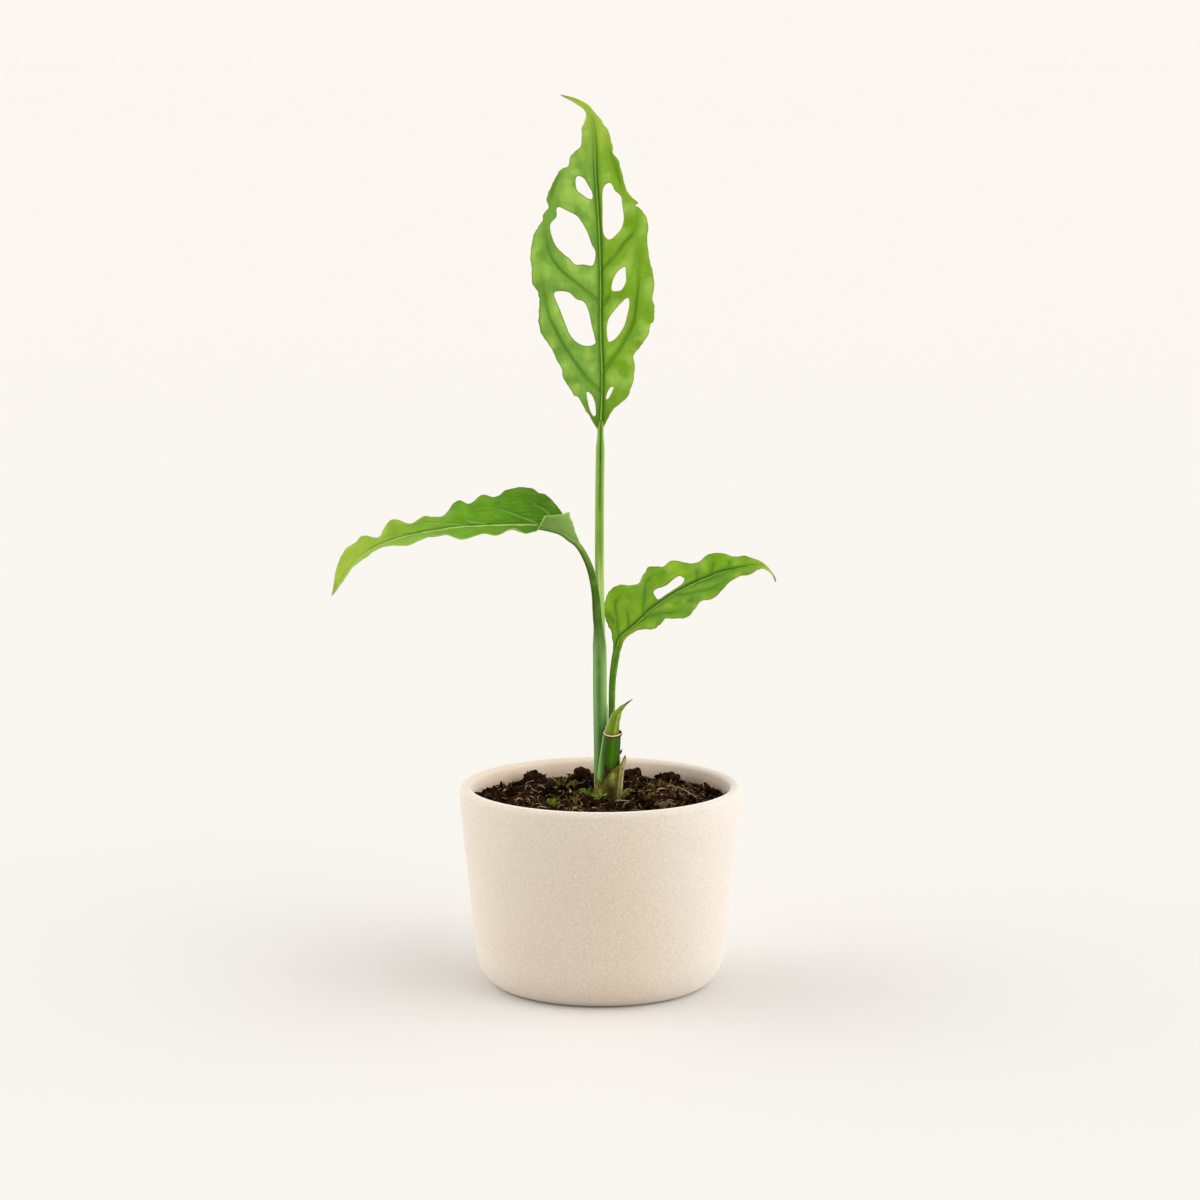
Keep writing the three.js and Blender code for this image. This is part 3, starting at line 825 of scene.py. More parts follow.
@dataclass(frozen=True)
class LeafFinish(Finish):
    """The skin of one leaf: its greens, veins and margin, with lengths in millimetres."""

    deep: Colour
    mid: Colour
    light: Colour
    plus_tint: Colour
    minus_tint: Colour
    tip: Colour
    # The colour of the painted shade beside rib and veins, and of the fine net of small veins.
    flank_shade_and_net: Colour
    rib: Colour
    vein: Colour
    margin_plus: Colour
    margin_minus: Colour
    under: Colour
    clouds: Patches = Patches(0.11, 0.34, 0.66, 1.0, 1.0)
    half_blend: float = 0.3
    plus_share: float = 0.4
    minus_share: float = 0.4
    panels: Patches = Patches(0.17, 0.36, 0.68, 1.0, 1.5)
    panel_edge: Change = Change(0.4, 3.4)
    panel_share: float = 0.55
    base: Colour = srgb(80, 128, 4)
    base_share: float = 0.0
    base_from: float = 0.02
    base_to: float = 0.16
    tip_from: float = 0.82
    tip_share: float = 0.9
    fibres: Patches = Patches(1.7, 0.42, 0.62)
    fibre_stretch: float = 0.12
    fibre_share: float = 0.12
    net: Net = Net(0.42, 0.1, 0.12)
    fade_from: float = 0.66
    fade_length: float = 0.26
    fade_to: float = 0.1
    # Painted shade beside the rib and the veins: its bands and its share.
    rib_shade_band: Band = Band(0.1, 1.8)
    vein_shade_band: Band = Band(0.1, 1.1, 0.6)
    shade_beside_share: float = 0.75
    vein_line: Band = Band(0.14, 0.34)
    vein_reach: Change = Change(6.0, 19.0, 1.0, 0.2)
    vein_share: float = 0.7
    core_width: float = 0.08
    core_soft: float = 0.14
    core_reach: Change = Change(3.0, 14.0, 1.0, 0.0)
    vein_core: float = 0.6
    shadow_line: Band = Band(0.12, 0.46)
    shadow_at: float = 0.5
    shadow_plus: float = 0.6
    shadow_minus: float = 0.6
    rib_width: float = 0.2
    rib_soft: float = 0.14
    rib_share: float = 0.9
    rib_at: float = 0.0
    rib_taper: Change = Change(0.0, 1.0, 1.2, 0.7)
    rim: Band = Band(0.12, 0.3, 0.8)
    under_share: float = 0.7
    end: Colour = srgb(112, 96, 44)
    end_from: float = 0.93
    end_share: float = 0.0
    sheen: Patches = Patches(0.5, 0.3, 0.7, 0.1)
    grain: Grain = Grain(1400.0, 0.00006, 0.6)
    specular: float = 0.17
    roughness: float = 0.42
    glow: float = 0.3

    def wire(self, skin: Dressing) -> None:
        """Wires the leaf, for a mesh that holds rib, vein, edge, along, under and flat.

        Args:
            skin: the material while it is being wired.
        """
        rib, vein, edge, along = map(skin.value, ("rib", "vein", "edge", "along"))
        flat = skin.value("flat", "Vector")
        lengthwise, across, _ = skin.split(flat)
        plus = skin.ramp(across, -self.half_blend, self.half_blend)
        tip = skin.ramp(along, self.tip_from, 1.0, 0.0, self.tip_share)
        colour = self.greens(skin, plus, skin.math("MINIMUM", rib, vein), flat)
        foot = skin.ramp(along, self.base_from, self.base_to, self.base_share, 0.0)
        colour = skin.cover(colour, self.base, foot)
        colour = skin.cover(colour, self.tip, tip)
        slow = skin.times(lengthwise, self.fibre_stretch)
        lay = skin.node("ShaderNodeCombineXYZ", {0: slow, 1: across}).outputs[0]
        colour = skin.cover(colour, self.rib, skin.patches(self.fibres, lay), self.fibre_share)
        colour = skin.cover(colour, self.flank_shade_and_net, skin.net(self.net, flat))
        colour = self.veined(skin, colour, (rib, vein, across, along))
        margin = skin.mix(tip, skin.mix(plus, self.margin_minus, self.margin_plus), self.tip)
        colour = skin.cover(colour, margin, skin.band(edge, self.rim))
        colour = skin.cover(colour, self.under, skin.value("under"), self.under_share)
        end = skin.ramp(along, self.end_from, 1.0, 0.0, self.end_share)
        colour = skin.cover(colour, self.end, end)
        rough_skin = skin.math("ADD", skin.patches(self.sheen, flat), self.roughness)
        skin.finish(colour, rough_skin, self.specular, self.glow)
        skin.grain(self.grain)

    def greens(self, skin: Dressing, plus: Socket, near: Socket, flat: Socket) -> Socket:
        """Mixes the greens of the two halves and of the panels between the veins.

        Args:
            skin: the material while it is being wired.
            plus: 1 on the plus half and 0 on the minus half.
            near: the distance from the nearest vein or rib.
            flat: the place on the flat blade.

        Returns:
            The leaf's colour without its veins.
        """
        colour = skin.mix(skin.patches(self.clouds, flat), self.deep, self.mid)
        share = skin.ramp(plus, 0.0, 1.0, self.minus_share, self.plus_share)
        colour = skin.cover(colour, skin.mix(plus, self.minus_tint, self.plus_tint), share)
        panel = skin.times(skin.change(near, self.panel_edge), self.panel_share)
        return skin.cover(colour, self.light, panel, skin.patches(self.panels, flat))

    def veined(self, skin: Dressing, colour: Socket, places: tuple[Socket, ...]) -> Socket:
        """Paints the midrib and veins, with painted shade beside them, which fade towards the tip.

        Args:
            skin: the material while it is being wired.
            colour: the leaf's colour without them.
            places: the distances from rib and vein, and the places across and along the rib.

        Returns:
            The colour with them.
        """
        rib, vein, across, along = places
        faded = self.fade_from + self.fade_length
        fade = skin.ramp(along, self.fade_from, faded, 1.0, self.fade_to)
        # Painted shade beside the rib and the veins.
        for distance, band in ((rib, self.rib_shade_band), (vein, self.vein_shade_band)):
            beside = skin.band(distance, band)
            colour = skin.cover(colour, self.flank_shade_and_net, beside, fade, self.shade_beside_share)
        dark = skin.times(skin.band(vein, self.vein_line), self.vein_share)
        colour = skin.cover(colour, self.vein, dark, skin.change(rib, self.vein_reach), fade)
        core = skin.band(vein, Band(self.core_width, self.core_soft, self.vein_core))
        colour = skin.cover(colour, self.rib, core, skin.change(rib, self.core_reach))
        sides = ((self.shadow_at, self.shadow_plus), (-self.shadow_at, self.shadow_minus))
        for place, share in sides:
            aside = skin.math("ABSOLUTE", skin.math("SUBTRACT", across, place))
            colour = skin.cover(colour, self.vein, skin.band(aside, self.shadow_line), share, fade)
        aside = skin.math("ABSOLUTE", skin.math("SUBTRACT", across, self.rib_at))
        narrow = skin.math("DIVIDE", aside, skin.change(along, self.rib_taper))
        pale = Band(self.rib_width, self.rib_soft, self.rib_share)
        return skin.cover(colour, self.rib, skin.band(narrow, pale))


@dataclass(frozen=True)
class StalkFinish(Finish):
    """The skin of a stalk, painted by the mesh and streaked along its length."""

    fleck: Colour
    fleck_share: float = 0.0
    streak: float = 0.1
    roughness: float = 0.48
    glow: float = 0.12
    specular: float = 0.16
    streaks: Streaks = Streaks(1500.0, 14.0, 0.00008, 0.5)
    streak_tint: Colour = (0.6, 0.68, 0.55, 1.0)
    clouds: Patches = Patches(240.0, 0.4, 0.75, 0.14)
    specks: Patches = Patches(1500.0, 0.68, 0.74)

    def wire(self, skin: Dressing) -> None:
        """Wires the stalk, for a mesh that holds paint.

        Args:
            skin: the material while it is being wired.
        """
        streaks = skin.streaks(self.streaks)
        paint = skin.value("paint", "Color")
        colour = skin.darkened(paint, self.streak_tint, streaks, self.streak * 2)
        colour = skin.cover(colour, self.fleck, skin.patches(self.clouds))
        colour = skin.cover(colour, self.fleck, skin.patches(self.specks), self.fleck_share)
        skin.finish(colour, self.roughness, self.specular, self.glow)


@dataclass(frozen=True)
class GlazeFinish(Finish):
    """The pot's matte glaze, with fine sand showing through it, and painted light and shade on it.
    """

    body: Colour = srgb(204, 191, 174)
    warm: Colour = srgb(199, 183, 163)
    # Painted light: the inside of the wall is painted lighter than the outside.
    inner: Colour = srgb(236, 212, 186)
    # Dark sand and specks, and the painted shade on the lip's right and left sides.
    dark: Colour = srgb(140, 120, 95)
    light: Colour = srgb(228, 220, 210)
    # Painted highlight on the front of the lip.
    rim: Colour = srgb(240, 235, 226)
    # Painted reflection: the right side of the pot is painted paler and cooler.
    right_reflection: Colour = srgb(202, 196, 191)
    # Painted shade on the inner wall, near the soil and most on the right.
    inner_shade: Colour = srgb(138, 100, 60)
    clouds: Patches = Patches(20.0, 0.25, 0.75)
    # Where the painted reflection, the lip's painted highlight and shade, and the inner painted
    # shade lie.
    right_reflection_reach: Change = Change(0.008, 0.04, 0.0, 0.5)
    rim_share: float = 0.6
    lip_highlight_front: Change = Change(-0.04, 0.0, 1.0, 0.1)
    lip_shade_right: Change = Change(0.034, 0.044, 0.0, 0.3)
    lip_shade_left: Change = Change(-0.044, -0.034, 0.2, 0.0)
    inner_shade_low: Change = Change(0.0585, 0.0635, 0.4, 0.0)
    inner_shade_right: Change = Change(0.01, 0.04, 0.0, 0.58)
    inner_shade_left: Change = Change(-0.04, -0.02, 0.16, 0.0)
    sand: Patches = Patches(1700.0, 0.44, 0.72, 0.2)
    pale_sand: Patches = Patches(2100.0, 0.5, 0.7, 0.4)
    specks: Patches = Patches(1900.0, 0.68, 0.74, 0.6)
    dull: Patches = Patches(500.0, 0.3, 0.7, 0.12)
    roughness: float = 0.6
    specular: float = 0.6
    sheen: float = 0.3
    sheen_roughness: float = 0.6
    grain: Grain = Grain(1500.0, 0.00005, 0.5)

    def wire(self, skin: Dressing) -> None:
        """Wires the glaze, for a mesh that holds inside and crown.

        Args:
            skin: the material while it is being wired.
        """
        right, away, high = skin.split(skin.place)
        inside, crown = skin.value("inside"), skin.value("crown")
        colour = skin.mix(skin.patches(self.clouds), self.body, self.warm)
        # Painted light: the inside of the wall is painted lighter.
        colour = skin.cover(colour, self.inner, inside)
        # Painted reflection on the pot's right side.
        colour = skin.cover(colour, self.right_reflection, skin.change(right, self.right_reflection_reach))
        # Painted highlight on the front of the lip.
        front = skin.change(away, self.lip_highlight_front)
        colour = skin.cover(colour, self.rim, crown, self.rim_share, front)
        # Painted shade on the lip's right and left sides.
        ends = [skin.change(right, change) for change in (self.lip_shade_right, self.lip_shade_left)]
        colour = skin.cover(colour, self.dark, skin.math("ADD", *ends), crown)
        # Painted shade on the inner wall, near the soil and most on the right.
        inner_shade = [skin.change(high, self.inner_shade_low)]
        inner_shade += [skin.change(right, change) for change in (self.inner_shade_right, self.inner_shade_left)]
        colour = skin.cover(colour, self.inner_shade, skin.math("ADD", *inner_shade), inside)
        colour = skin.cover(colour, self.dark, skin.patches(self.sand))
        colour = skin.cover(colour, self.light, skin.patches(self.pale_sand))
        colour = skin.cover(colour, self.dark, skin.patches(self.specks))
        rough_skin = skin.math("ADD", skin.patches(self.dull), self.roughness)
        skin.finish(colour, rough_skin, self.specular)
        skin.shader.inputs["Sheen Weight"].default_value = self.sheen
        skin.shader.inputs["Sheen Roughness"].default_value = self.sheen_roughness
        skin.grain(self.grain)


@dataclass(frozen=True)
class EarthFinish(Finish):
    """Damp soil, its crumbs and its fibres: the mesh gives each bit its tint."""

    roughness: float = 0.85
    contrast: float = 0.55
    scale: float = 900.0
    patch_edge: tuple[float, float] = (0.38, 0.62)
    dark_tint: Colour = (0.25, 0.2, 0.17, 1.0)
    damp: Patches = Patches(420.0, 0.3, 0.7)
    damp_gloss: float = 0.25
    dry_roughness: float = 0.95
    specular: float = 0.01
    grain: Grain = Grain(1600.0, 0.0004, 0.9)

    def wire(self, skin: Dressing) -> None:
        """Wires the earth, for a mesh that holds paint.

        Args:
            skin: the material while it is being wired.
        """
        patches = skin.patches(Patches(self.scale, *self.patch_edge, self.contrast))
        colour = skin.darkened(skin.value("paint", "Color"), self.dark_tint, patches)
        wet = self.roughness - self.damp_gloss
        damp = skin.ramp(skin.patches(self.damp), 0.0, 1.0, wet, self.dry_roughness)
        skin.finish(colour, damp, self.specular)
        skin.grain(self.grain)


@dataclass(frozen=True)
class ScaleFinish(Finish):
    """The dry papery scale, painted by the mesh, with a net of veins and brown margins."""

    vein: Colour = srgb(62, 50, 16)
    rim: Colour = srgb(150, 112, 58)
    brown: Colour = srgb(72, 52, 14)
    streaks: Streaks = Streaks(1300.0, 9.0, 0.00025, 0.8)
    streak_tint: Colour = (0.42, 0.38, 0.3, 1.0)
    streak: float = 0.35
    net: Net = Net(700.0, 0.22, 0.75)
    stains: Patches = Patches(460.0, 0.52, 0.62, 0.5)
    border: Band = Band(0.5, 0.4)
    margin: Band = Band(0.25, 0.12)
    roughness: float = 0.7
    specular: float = 0.12
    glow: float = 0.15

    def wire(self, skin: Dressing) -> None:
        """Wires the scale, for a mesh that holds edge and paint.

        Args:
            skin: the material while it is being wired.
        """
        streaks, edge = skin.streaks(self.streaks), skin.value("edge")
        colour = skin.darkened(skin.value("paint", "Color"), self.streak_tint, streaks, self.streak)
        colour = skin.cover(colour, self.vein, skin.net(self.net, skin.place))
        colour = skin.cover(colour, self.brown, skin.patches(self.stains))
        colour = skin.cover(colour, self.brown, skin.band(edge, self.border))
        colour = skin.cover(colour, self.rim, skin.band(edge, self.margin))
        skin.finish(colour, self.roughness, self.specular, self.glow)


# Stalks


@dataclass(frozen=True)
class Stripe:
    """A band of colour along a round piece: its own tone, painted shade, or a painted highlight.

    Turn 0 faces the front of a stem and 90 its right. Start, end and ease are shares of the length
    on a stalk, and heights on the cut stem and the dry sheath.
    """

    turn: float
    width: float
    colour: Colour
    share: float = 1.0
    start: float = -1.0
    end: float = 2.0
    ease: float = 0.04


@dataclass(frozen=True)
class Ridge:
    """A rib along a stalk, or a groove where its rise is below zero."""

    turn: float
    width: float
    rise: float
    start: float = -1.0
    end: float = 2.0
    ease: float = 0.03


def turned(turn: np.ndarray, middle: float) -> np.ndarray:
    """How many degrees turns lie from a middle one, the short way round."""
    return (turn - middle + 180) % 360 - 180


def window(place: np.ndarray, band: Stripe | Ridge) -> np.ndarray:
    """1 between a band's start and end, easing to 0 outside them."""
    rise = ramp(place, band.start - band.ease, band.start + band.ease)
    return rise * (1 - ramp(place, band.end - band.ease, band.end + band.ease))


def painted(colours: np.ndarray, colour: Colour, mask: np.ndarray) -> np.ndarray:
    """The points' colours with another one over them, by a mask."""
    return colours * (1 - mask[:, None]) + np.array(colour) * mask[:, None]


def striped(
    skin: Colour, stripes: Sequence[Stripe], turn: np.ndarray, place: np.ndarray
) -> np.ndarray:
    """Lays stripes over a plain skin.

    Args:
        skin: the plain colour.
        stripes: the stripes, each one over those before it.
        turn: each point's turn in degrees.
        place: each point's place along the piece, as the stripes give it.

    Returns:
        The colour of each point.
    """
    colours = np.tile(np.array(skin), (len(turn), 1))
    for stripe in stripes:
        mask = stripe.share * bell(turned(turn, stripe.turn), stripe.width)
        colours = painted(colours, stripe.colour, mask * window(place, stripe))
    return colours


@dataclass
class Stalk:
    """A round stalk along a line, with ridges and painted stripes."""

    path: Points
    radius: Table
    skin: Colour
    stripes: Sequence[Stripe] = ()
    ridges: Sequence[Ridge] = ()
    sides: int = 36
    step: float = 0.9

    def body(self) -> Body:
        """Sweeps the stalk's skin along its line.

        Returns:
            A closed body that holds paint.
        """
        curve = Curve(self.path)
        rows = max(8, round(curve.length / self.step)) + 1
        share = np.linspace(0, 1, rows)
        along = curve.direction(share * curve.length)
        front = np.array([0.0, -1.0, 0.0])
        front = unit(front - along * (along @ front)[:, None])
        side = np.cross(along, front)
        turn = np.linspace(0, 360, self.sides, endpoint=False)
        shares, degrees = np.meshgrid(share, turn, indexing="ij")
        radius = eased(self.radius, shares)
        for ridge in self.ridges:
            height = bell(turned(degrees, ridge.turn), ridge.width)
            radius = radius + ridge.rise * height * window(shares, ridge)
        angle = np.radians(degrees)[..., None]
        spokes = np.cos(angle) * front[:, None] + np.sin(angle) * side[:, None]
        points = curve.at(share * curve.length)[:, None] + radius[..., None] * spokes
        paint = striped(self.skin, self.stripes, degrees.ravel(), shares.ravel())
        return Body(points.reshape(-1, 3), tube_faces(rows, self.sides), {"paint": paint})


# Leaves


class Facing(Enum):
    """Which way a leaf's plus half opens from its midrib."""

    UP = 1
    DOWN = -1


@dataclass(frozen=True)
class HalfBlade:
    """One half of a blade: the way it leaves the midrib, its waves and its margin.

    Bearing and lift are read along the midrib. The margin holds pairs of place along the midrib and
    distance from it.
    """

    bearing: Table
    lift: Table
    margin: Table


@dataclass
class Blade:
    """A thin leaf blade, drawn flat along and across its midrib, and laid along it in the air."""

    name: str
    facing: Facing
    midrib: Points
    plus: HalfBlade
    minus: HalfBlade
    tip: float
    holes: Sequence[Points] = ()
    veins: Sequence[Points] = ()
    thickness: float = 0.34
    rim_share: float = 0.45
    edge_step: float = 0.55
    grid_step: float = 0.85
    line_step: float = 0.6
    line_gap: float = 0.26
    rib_rows: Sequence[float] = (0.0, -0.3, 0.3, -0.8, 0.8)
    vein_rows: Sequence[float] = (0.0, -0.4, 0.4)
    half_width: float = 26.0
    rib_groove: float = 0.3
    vein_groove: float = 0.2
    blister: float = 0.6
    crimp: float = 0.3
    vein_lift: float = 1.3
    keel_gap: float = 0.15
    keel: Table = ((0.0, 0.95), (0.12, 0.6), (0.5, 0.42), (0.9, 0.2))

    def __post_init__(self) -> None:
        """Lays the midrib."""
        self.rib = Curve(self.midrib)

    def frames(self, along: np.ndarray) -> tuple[np.ndarray, np.ndarray, np.ndarray]:
        """Reads the directions of the blade at some places along its midrib.

        Args:
            along: the places.

        Returns:
            The midrib's direction and the two directions across it, back and upward.
        """
        direction = self.rib.direction(along)
        back = np.array([0.0, 1.0, 0.0])
        back = unit(back - direction * (direction @ back)[:, None])
        return direction, back, np.cross(direction, back) * self.facing.value

    def place(self, flat: np.ndarray) -> np.ndarray:
        """Where spots of the flat blade lie in the air.

        Args:
            flat: pairs of place along the midrib and place across it.

        Returns:
            One point for each spot.
        """
        along, across = flat[:, 0], flat[:, 1]
        plus = across >= 0

        def of_half(read: Callable, name: str) -> np.ndarray:
            """A table of the half that each spot is in."""
            tables = (getattr(half, name) for half in (self.plus, self.minus))
            return np.where(plus, *(read(table, along) for table in tables))

        direction, back, upward = self.frames(along)
        angle = np.radians(of_half(eased, "bearing"))
        reach = np.abs(across)
        share = np.minimum(1, reach / of_half(between, "margin"))
        lift = np.where(plus, 1.0, -1.0) * of_half(eased, "lift") * share**2
        inside = np.clip(along, 0, self.rib.length)
        points = self.rib.at(inside) + direction * (along - inside)[:, None]
        points += back * (reach * np.cos(angle) - lift * np.sin(angle))[:, None]
        points += upward * (reach * np.sin(angle) + lift * np.cos(angle))[:, None]
        return points

    def outline(self) -> np.ndarray:
        """The flat outline with the small uneven notches of a real margin.

        Returns:
            Spaced places, out along the plus half and back along the minus half.
        """
        way_back = [(along, -across) for along, across in reversed(self.minus.margin)]
        corners = [*self.plus.margin, (self.tip, 0.0), *way_back]
        loop = Curve(corners, closed=True).spaced(self.edge_step)
        ahead = unit(np.roll(loop, -1, axis=0) - np.roll(loop, 1, axis=0))
        outward = np.stack([-ahead[:, 1], ahead[:, 0]], -1)
        places = np.column_stack([loop, 0 * loop[:, 0]])
        shift = self.crimp * rough(places, 1.7, 5.0, 2) * ramp(np.abs(loop[:, 1]), 1.5, 4.0)
        return loop + outward * shift[:, None]

    def tapered(self, vein: Curve) -> np.ndarray:
        """Follows a vein, lifted at its free ends so that they are painted as thin points.

        Args:
            vein: the vein's line.

        Returns:
            Closely spaced places with their lift.
        """
        share = np.linspace(0, 1, round(vein.length / 0.15))
        lift = self.vein_lift * ramp(share, 0.3, 1.05) ** 3
        starts_free = abs(vein.points[0, 1]) > 1.2
        if starts_free:
            lift = lift + self.vein_lift * (1 - ramp(share, -0.05, 0.5)) ** 3
        return np.column_stack([vein.at(share * vein.length), lift])

    @staticmethod
    def on_blade(spots: np.ndarray, loops: Sequence[np.ndarray]) -> np.ndarray:
        """Which flat spots lie inside the outline and outside the holes.

        Args:
            spots: the flat spots.
            loops: the outline, and then the holes.

        Returns:
            True or false for each spot.
        """
        found = is_inside(spots, loops[0])
        for hole in loops[1:]:
            found &= ~is_inside(spots, hole)
        return found

    def spots(
        self, loops: list[np.ndarray], rims: list[np.ndarray], veins: list[Curve]
    ) -> np.ndarray:
        """Spreads spots over the flat blade, first its edges, then its veins and then the rest.

        Args:
            loops: the spots of the outline and of each hole.
            rims: the same loops, more closely spaced.
            veins: the veins' lines.

        Returns:
            All spots, in that order.
        """

        def with_room(spots: np.ndarray, room: float) -> np.ndarray:
            """The spots that lie on the blade with some room to its edges."""
            return spots[self.on_blade(spots, loops) & (distance_to(spots, rims, 99.0) > room)]

        lines = []
        rib = np.arange(0.3, self.tip - 0.5, self.line_step)
        for offset in self.rib_rows:
            lines.append(with_room(np.stack([rib, np.full_like(rib, offset)], -1), 0.25))
        for vein in veins:
            places = np.linspace(0, vein.length, max(3, round(vein.length / self.line_step)))
            heading = vein.direction(places, 0.6)
            aside = np.stack([-heading[:, 1], heading[:, 0]], -1)
            lines += [with_room(vein.at(places) + aside * offset, 0.3) for offset in self.vein_rows]
        taken = np.vstack([*loops, thinned(np.vstack(lines), self.line_gap)])
        step, rows = self.grid_step, []
        lanes = np.arange(-self.half_width, self.half_width, step * math.sqrt(0.75))
        for index, across in enumerate(lanes):
            along = np.arange(0.4, self.tip, step) + (index % 2) * step / 2
            rows.append(np.stack([along, np.full_like(along, across)], -1))
        grid = with_room(np.vstack(rows), 0.45 * step)
        return np.vstack([taken, grid[distance_to(grid, [taken], 99.0) > 0.6 * step]])

    def flat_layout(self) -> tuple[np.ndarray, np.ndarray, dict[str, np.ndarray]]:
        """Cuts the flat blade into small triangles with edges along its veins.

        Returns:
            The flat spots, the triangles, and each spot's distance from rib, vein and edge.
        """
        holes = [Curve(hole, closed=True).spaced(self.edge_step) for hole in self.holes]
        loops = [self.outline(), *holes]
        rims = [Curve(loop, closed=True, steps=4).points for loop in loops]
        veins = [Curve(vein) for vein in self.veins]
        edges, first = [], 0
        for loop in loops:
            count = len(loop)
            edges += [(first + k, first + (k + 1) % count) for k in range(count)]
            first += count
        spots = [Vector(spot) for spot in self.spots(loops, rims, veins)]
        made = delaunay_2d_cdt(spots, edges, [], 0, 1e-4)
        flat = np.array([tuple(spot) for spot in made[0]])
        faces = np.array([face for face in made[2] if len(face) == 3])
        faces = faces[self.on_blade(flat[faces].mean(axis=1), loops)]
        used = np.unique(faces)
        order = np.full(len(flat), -1)
        order[used] = np.arange(len(used))
        flat, faces = flat[used], order[faces]
        a, b, c = (flat[faces[:, k]] for k in range(3))
        turned_over = np.cross(b - a, c - a) < 0
        faces[turned_over] = faces[turned_over][:, ::-1]
        values = {
            "rib": np.abs(flat[:, 1]),
            "vein": distance_to(flat, [self.tapered(vein) for vein in veins], 9.0),
            "edge": distance_to(flat, rims, 9.0),
        }
        return flat, faces, values

    def relief(self, flat: np.ndarray, values: dict[str, np.ndarray]) -> np.ndarray:
        """How far each spot stands out of the smooth blade, towards its upper face.

        Args:
            flat: the flat spots.
            values: their distances from rib, vein and edge.

        Returns:
            One height for each spot.
        """
        spots = np.column_stack([flat, np.zeros(len(flat))])
        rib, vein = values["rib"], values["vein"]
        height = -self.rib_groove * bell(rib, 0.4)
        height += 0.5 * self.rib_groove * bell(rib - 1.2, 0.7)
        height -= self.vein_groove * bell(vein, 0.35)
        height += 0.5 * self.vein_groove * bell(vein - 1.0, 0.6)
        open_panel = 1 - bell(np.minimum(rib, vein), 2.4)
        height += self.blister * open_panel * rough(spots, 7.0, 1.0, 2)
        height += 0.3 * self.blister * rough(spots, 2.6, 2.0, 2)
        return height * ramp(values["edge"], -0.4, 1.2) * ramp(flat[:, 0], 0, 6)

    def sheet(self) -> Body:
        """The blade as a closed thin sheet.

        Returns:
            A body that holds rib, vein, edge, along, under and flat.
        """
        flat, faces, values = self.flat_layout()
        smooth = self.place(flat)
        up = vertex_normals(smooth, faces) * self.facing.value
        middle = smooth + up * self.relief(flat, values)[:, None]
        up = vertex_normals(middle, faces) * self.facing.value
        full = self.rim_share + (1 - self.rim_share) * ramp(values["edge"], 0, 0.8)
        thin = self.thickness * full[:, None] / 2
        points = np.vstack([middle + up * thin, middle - up * thin])
        count = len(flat)
        upper = faces if self.facing is Facing.UP else faces[:, ::-1]
        under = upper[:, ::-1] + count
        ways = np.vstack([upper[:, [0, 1]], upper[:, [1, 2]], upper[:, [2, 0]]])
        known = set(map(tuple, ways.tolist()))
        rim = sorted((a, b) for a, b in known if (b, a) not in known)
        walls = [(a, a + count, b + count, b) for a, b in rim]
        made = list(map(tuple, np.vstack([upper, under]).tolist()))
        spread = {name: np.tile(value, 2) for name, value in values.items()}
        spread["along"] = np.tile(flat[:, 0], 2) / self.tip
        spread["under"] = np.repeat([0.0, 1.0], count)
        spread["flat"] = np.column_stack([np.vstack([flat, flat]), np.zeros(2 * count)])
        return Body(points, made + walls, spread)

    def keel_path(self) -> list[tuple[float, ...]]:
        """Lays the line of the raised midrib under the blade.

        Returns:
            Its places, from the blade's base towards its tip.
        """
        along = np.array([4.0, 8.0, *np.arange(14.0, 0.9 * self.tip, 6.0)])
        direction, back, upward = self.frames(along)
        halves = [np.radians(eased(h.bearing, along))[:, None] for h in (self.plus, self.minus)]
        ways = [back * np.cos(angle) + upward * np.sin(angle) for angle in halves]
        across = unit(ways[0] - ways[1])
        lower = -np.cross(direction, across) * self.facing.value
        depth = between(self.keel, along / self.tip) + self.rib_groove + self.keel_gap
        return list(map(tuple, self.rib.at(along) + lower * depth[:, None]))


@dataclass
class Leaf:
    """A blade on its stalk, with the stalk running on under the blade as its midrib."""

    blade: Blade
    stalk: Stalk
    blade_finish: LeafFinish
    stalk_finish: StalkFinish
    stalk_slot: str

    def whole_stalk(self) -> Stalk:
        """Joins the stalk and the raised midrib.

        Returns:
            The stalk with the midrib as its thin end.
        """
        path = [*self.stalk.path, *self.blade.keel_path()]
        bare = Curve(self.stalk.path).length / Curve(path).length
        radius = [(place * bare, value) for place, value in self.stalk.radius]
        radius += [(bare + (1 - bare) * place, value) for place, value in self.blade.keel[1:]]
        stripes = [
            replace(one, start=one.start * bare, end=one.end * bare) for one in self.stalk.stripes
        ]
        ridges = [
            replace(one, start=one.start * bare, end=one.end * bare, ease=one.ease * bare)
            for one in self.stalk.ridges
        ]
        return replace(self.stalk, path=path, radius=radius, stripes=stripes, ridges=ridges)

    def build(self, effects: Effects) -> None:
        """Makes the blade and its stalk.

        Args:
            effects: the shared node groups.
        """
        name = self.blade.name
        skin = self.blade_finish.build(f"leaf_{name}_skin", effects)
        show(f"leaf_{name}", self.blade.sheet(), skin, [f"blade_{name}"], 60)
        skin = self.stalk_finish.build(f"stalk_{name}_skin", effects)
        body = self.whole_stalk().body()
        show(f"stalk_{name}", body, skin, [f"petiole_{name}"])


# Pot


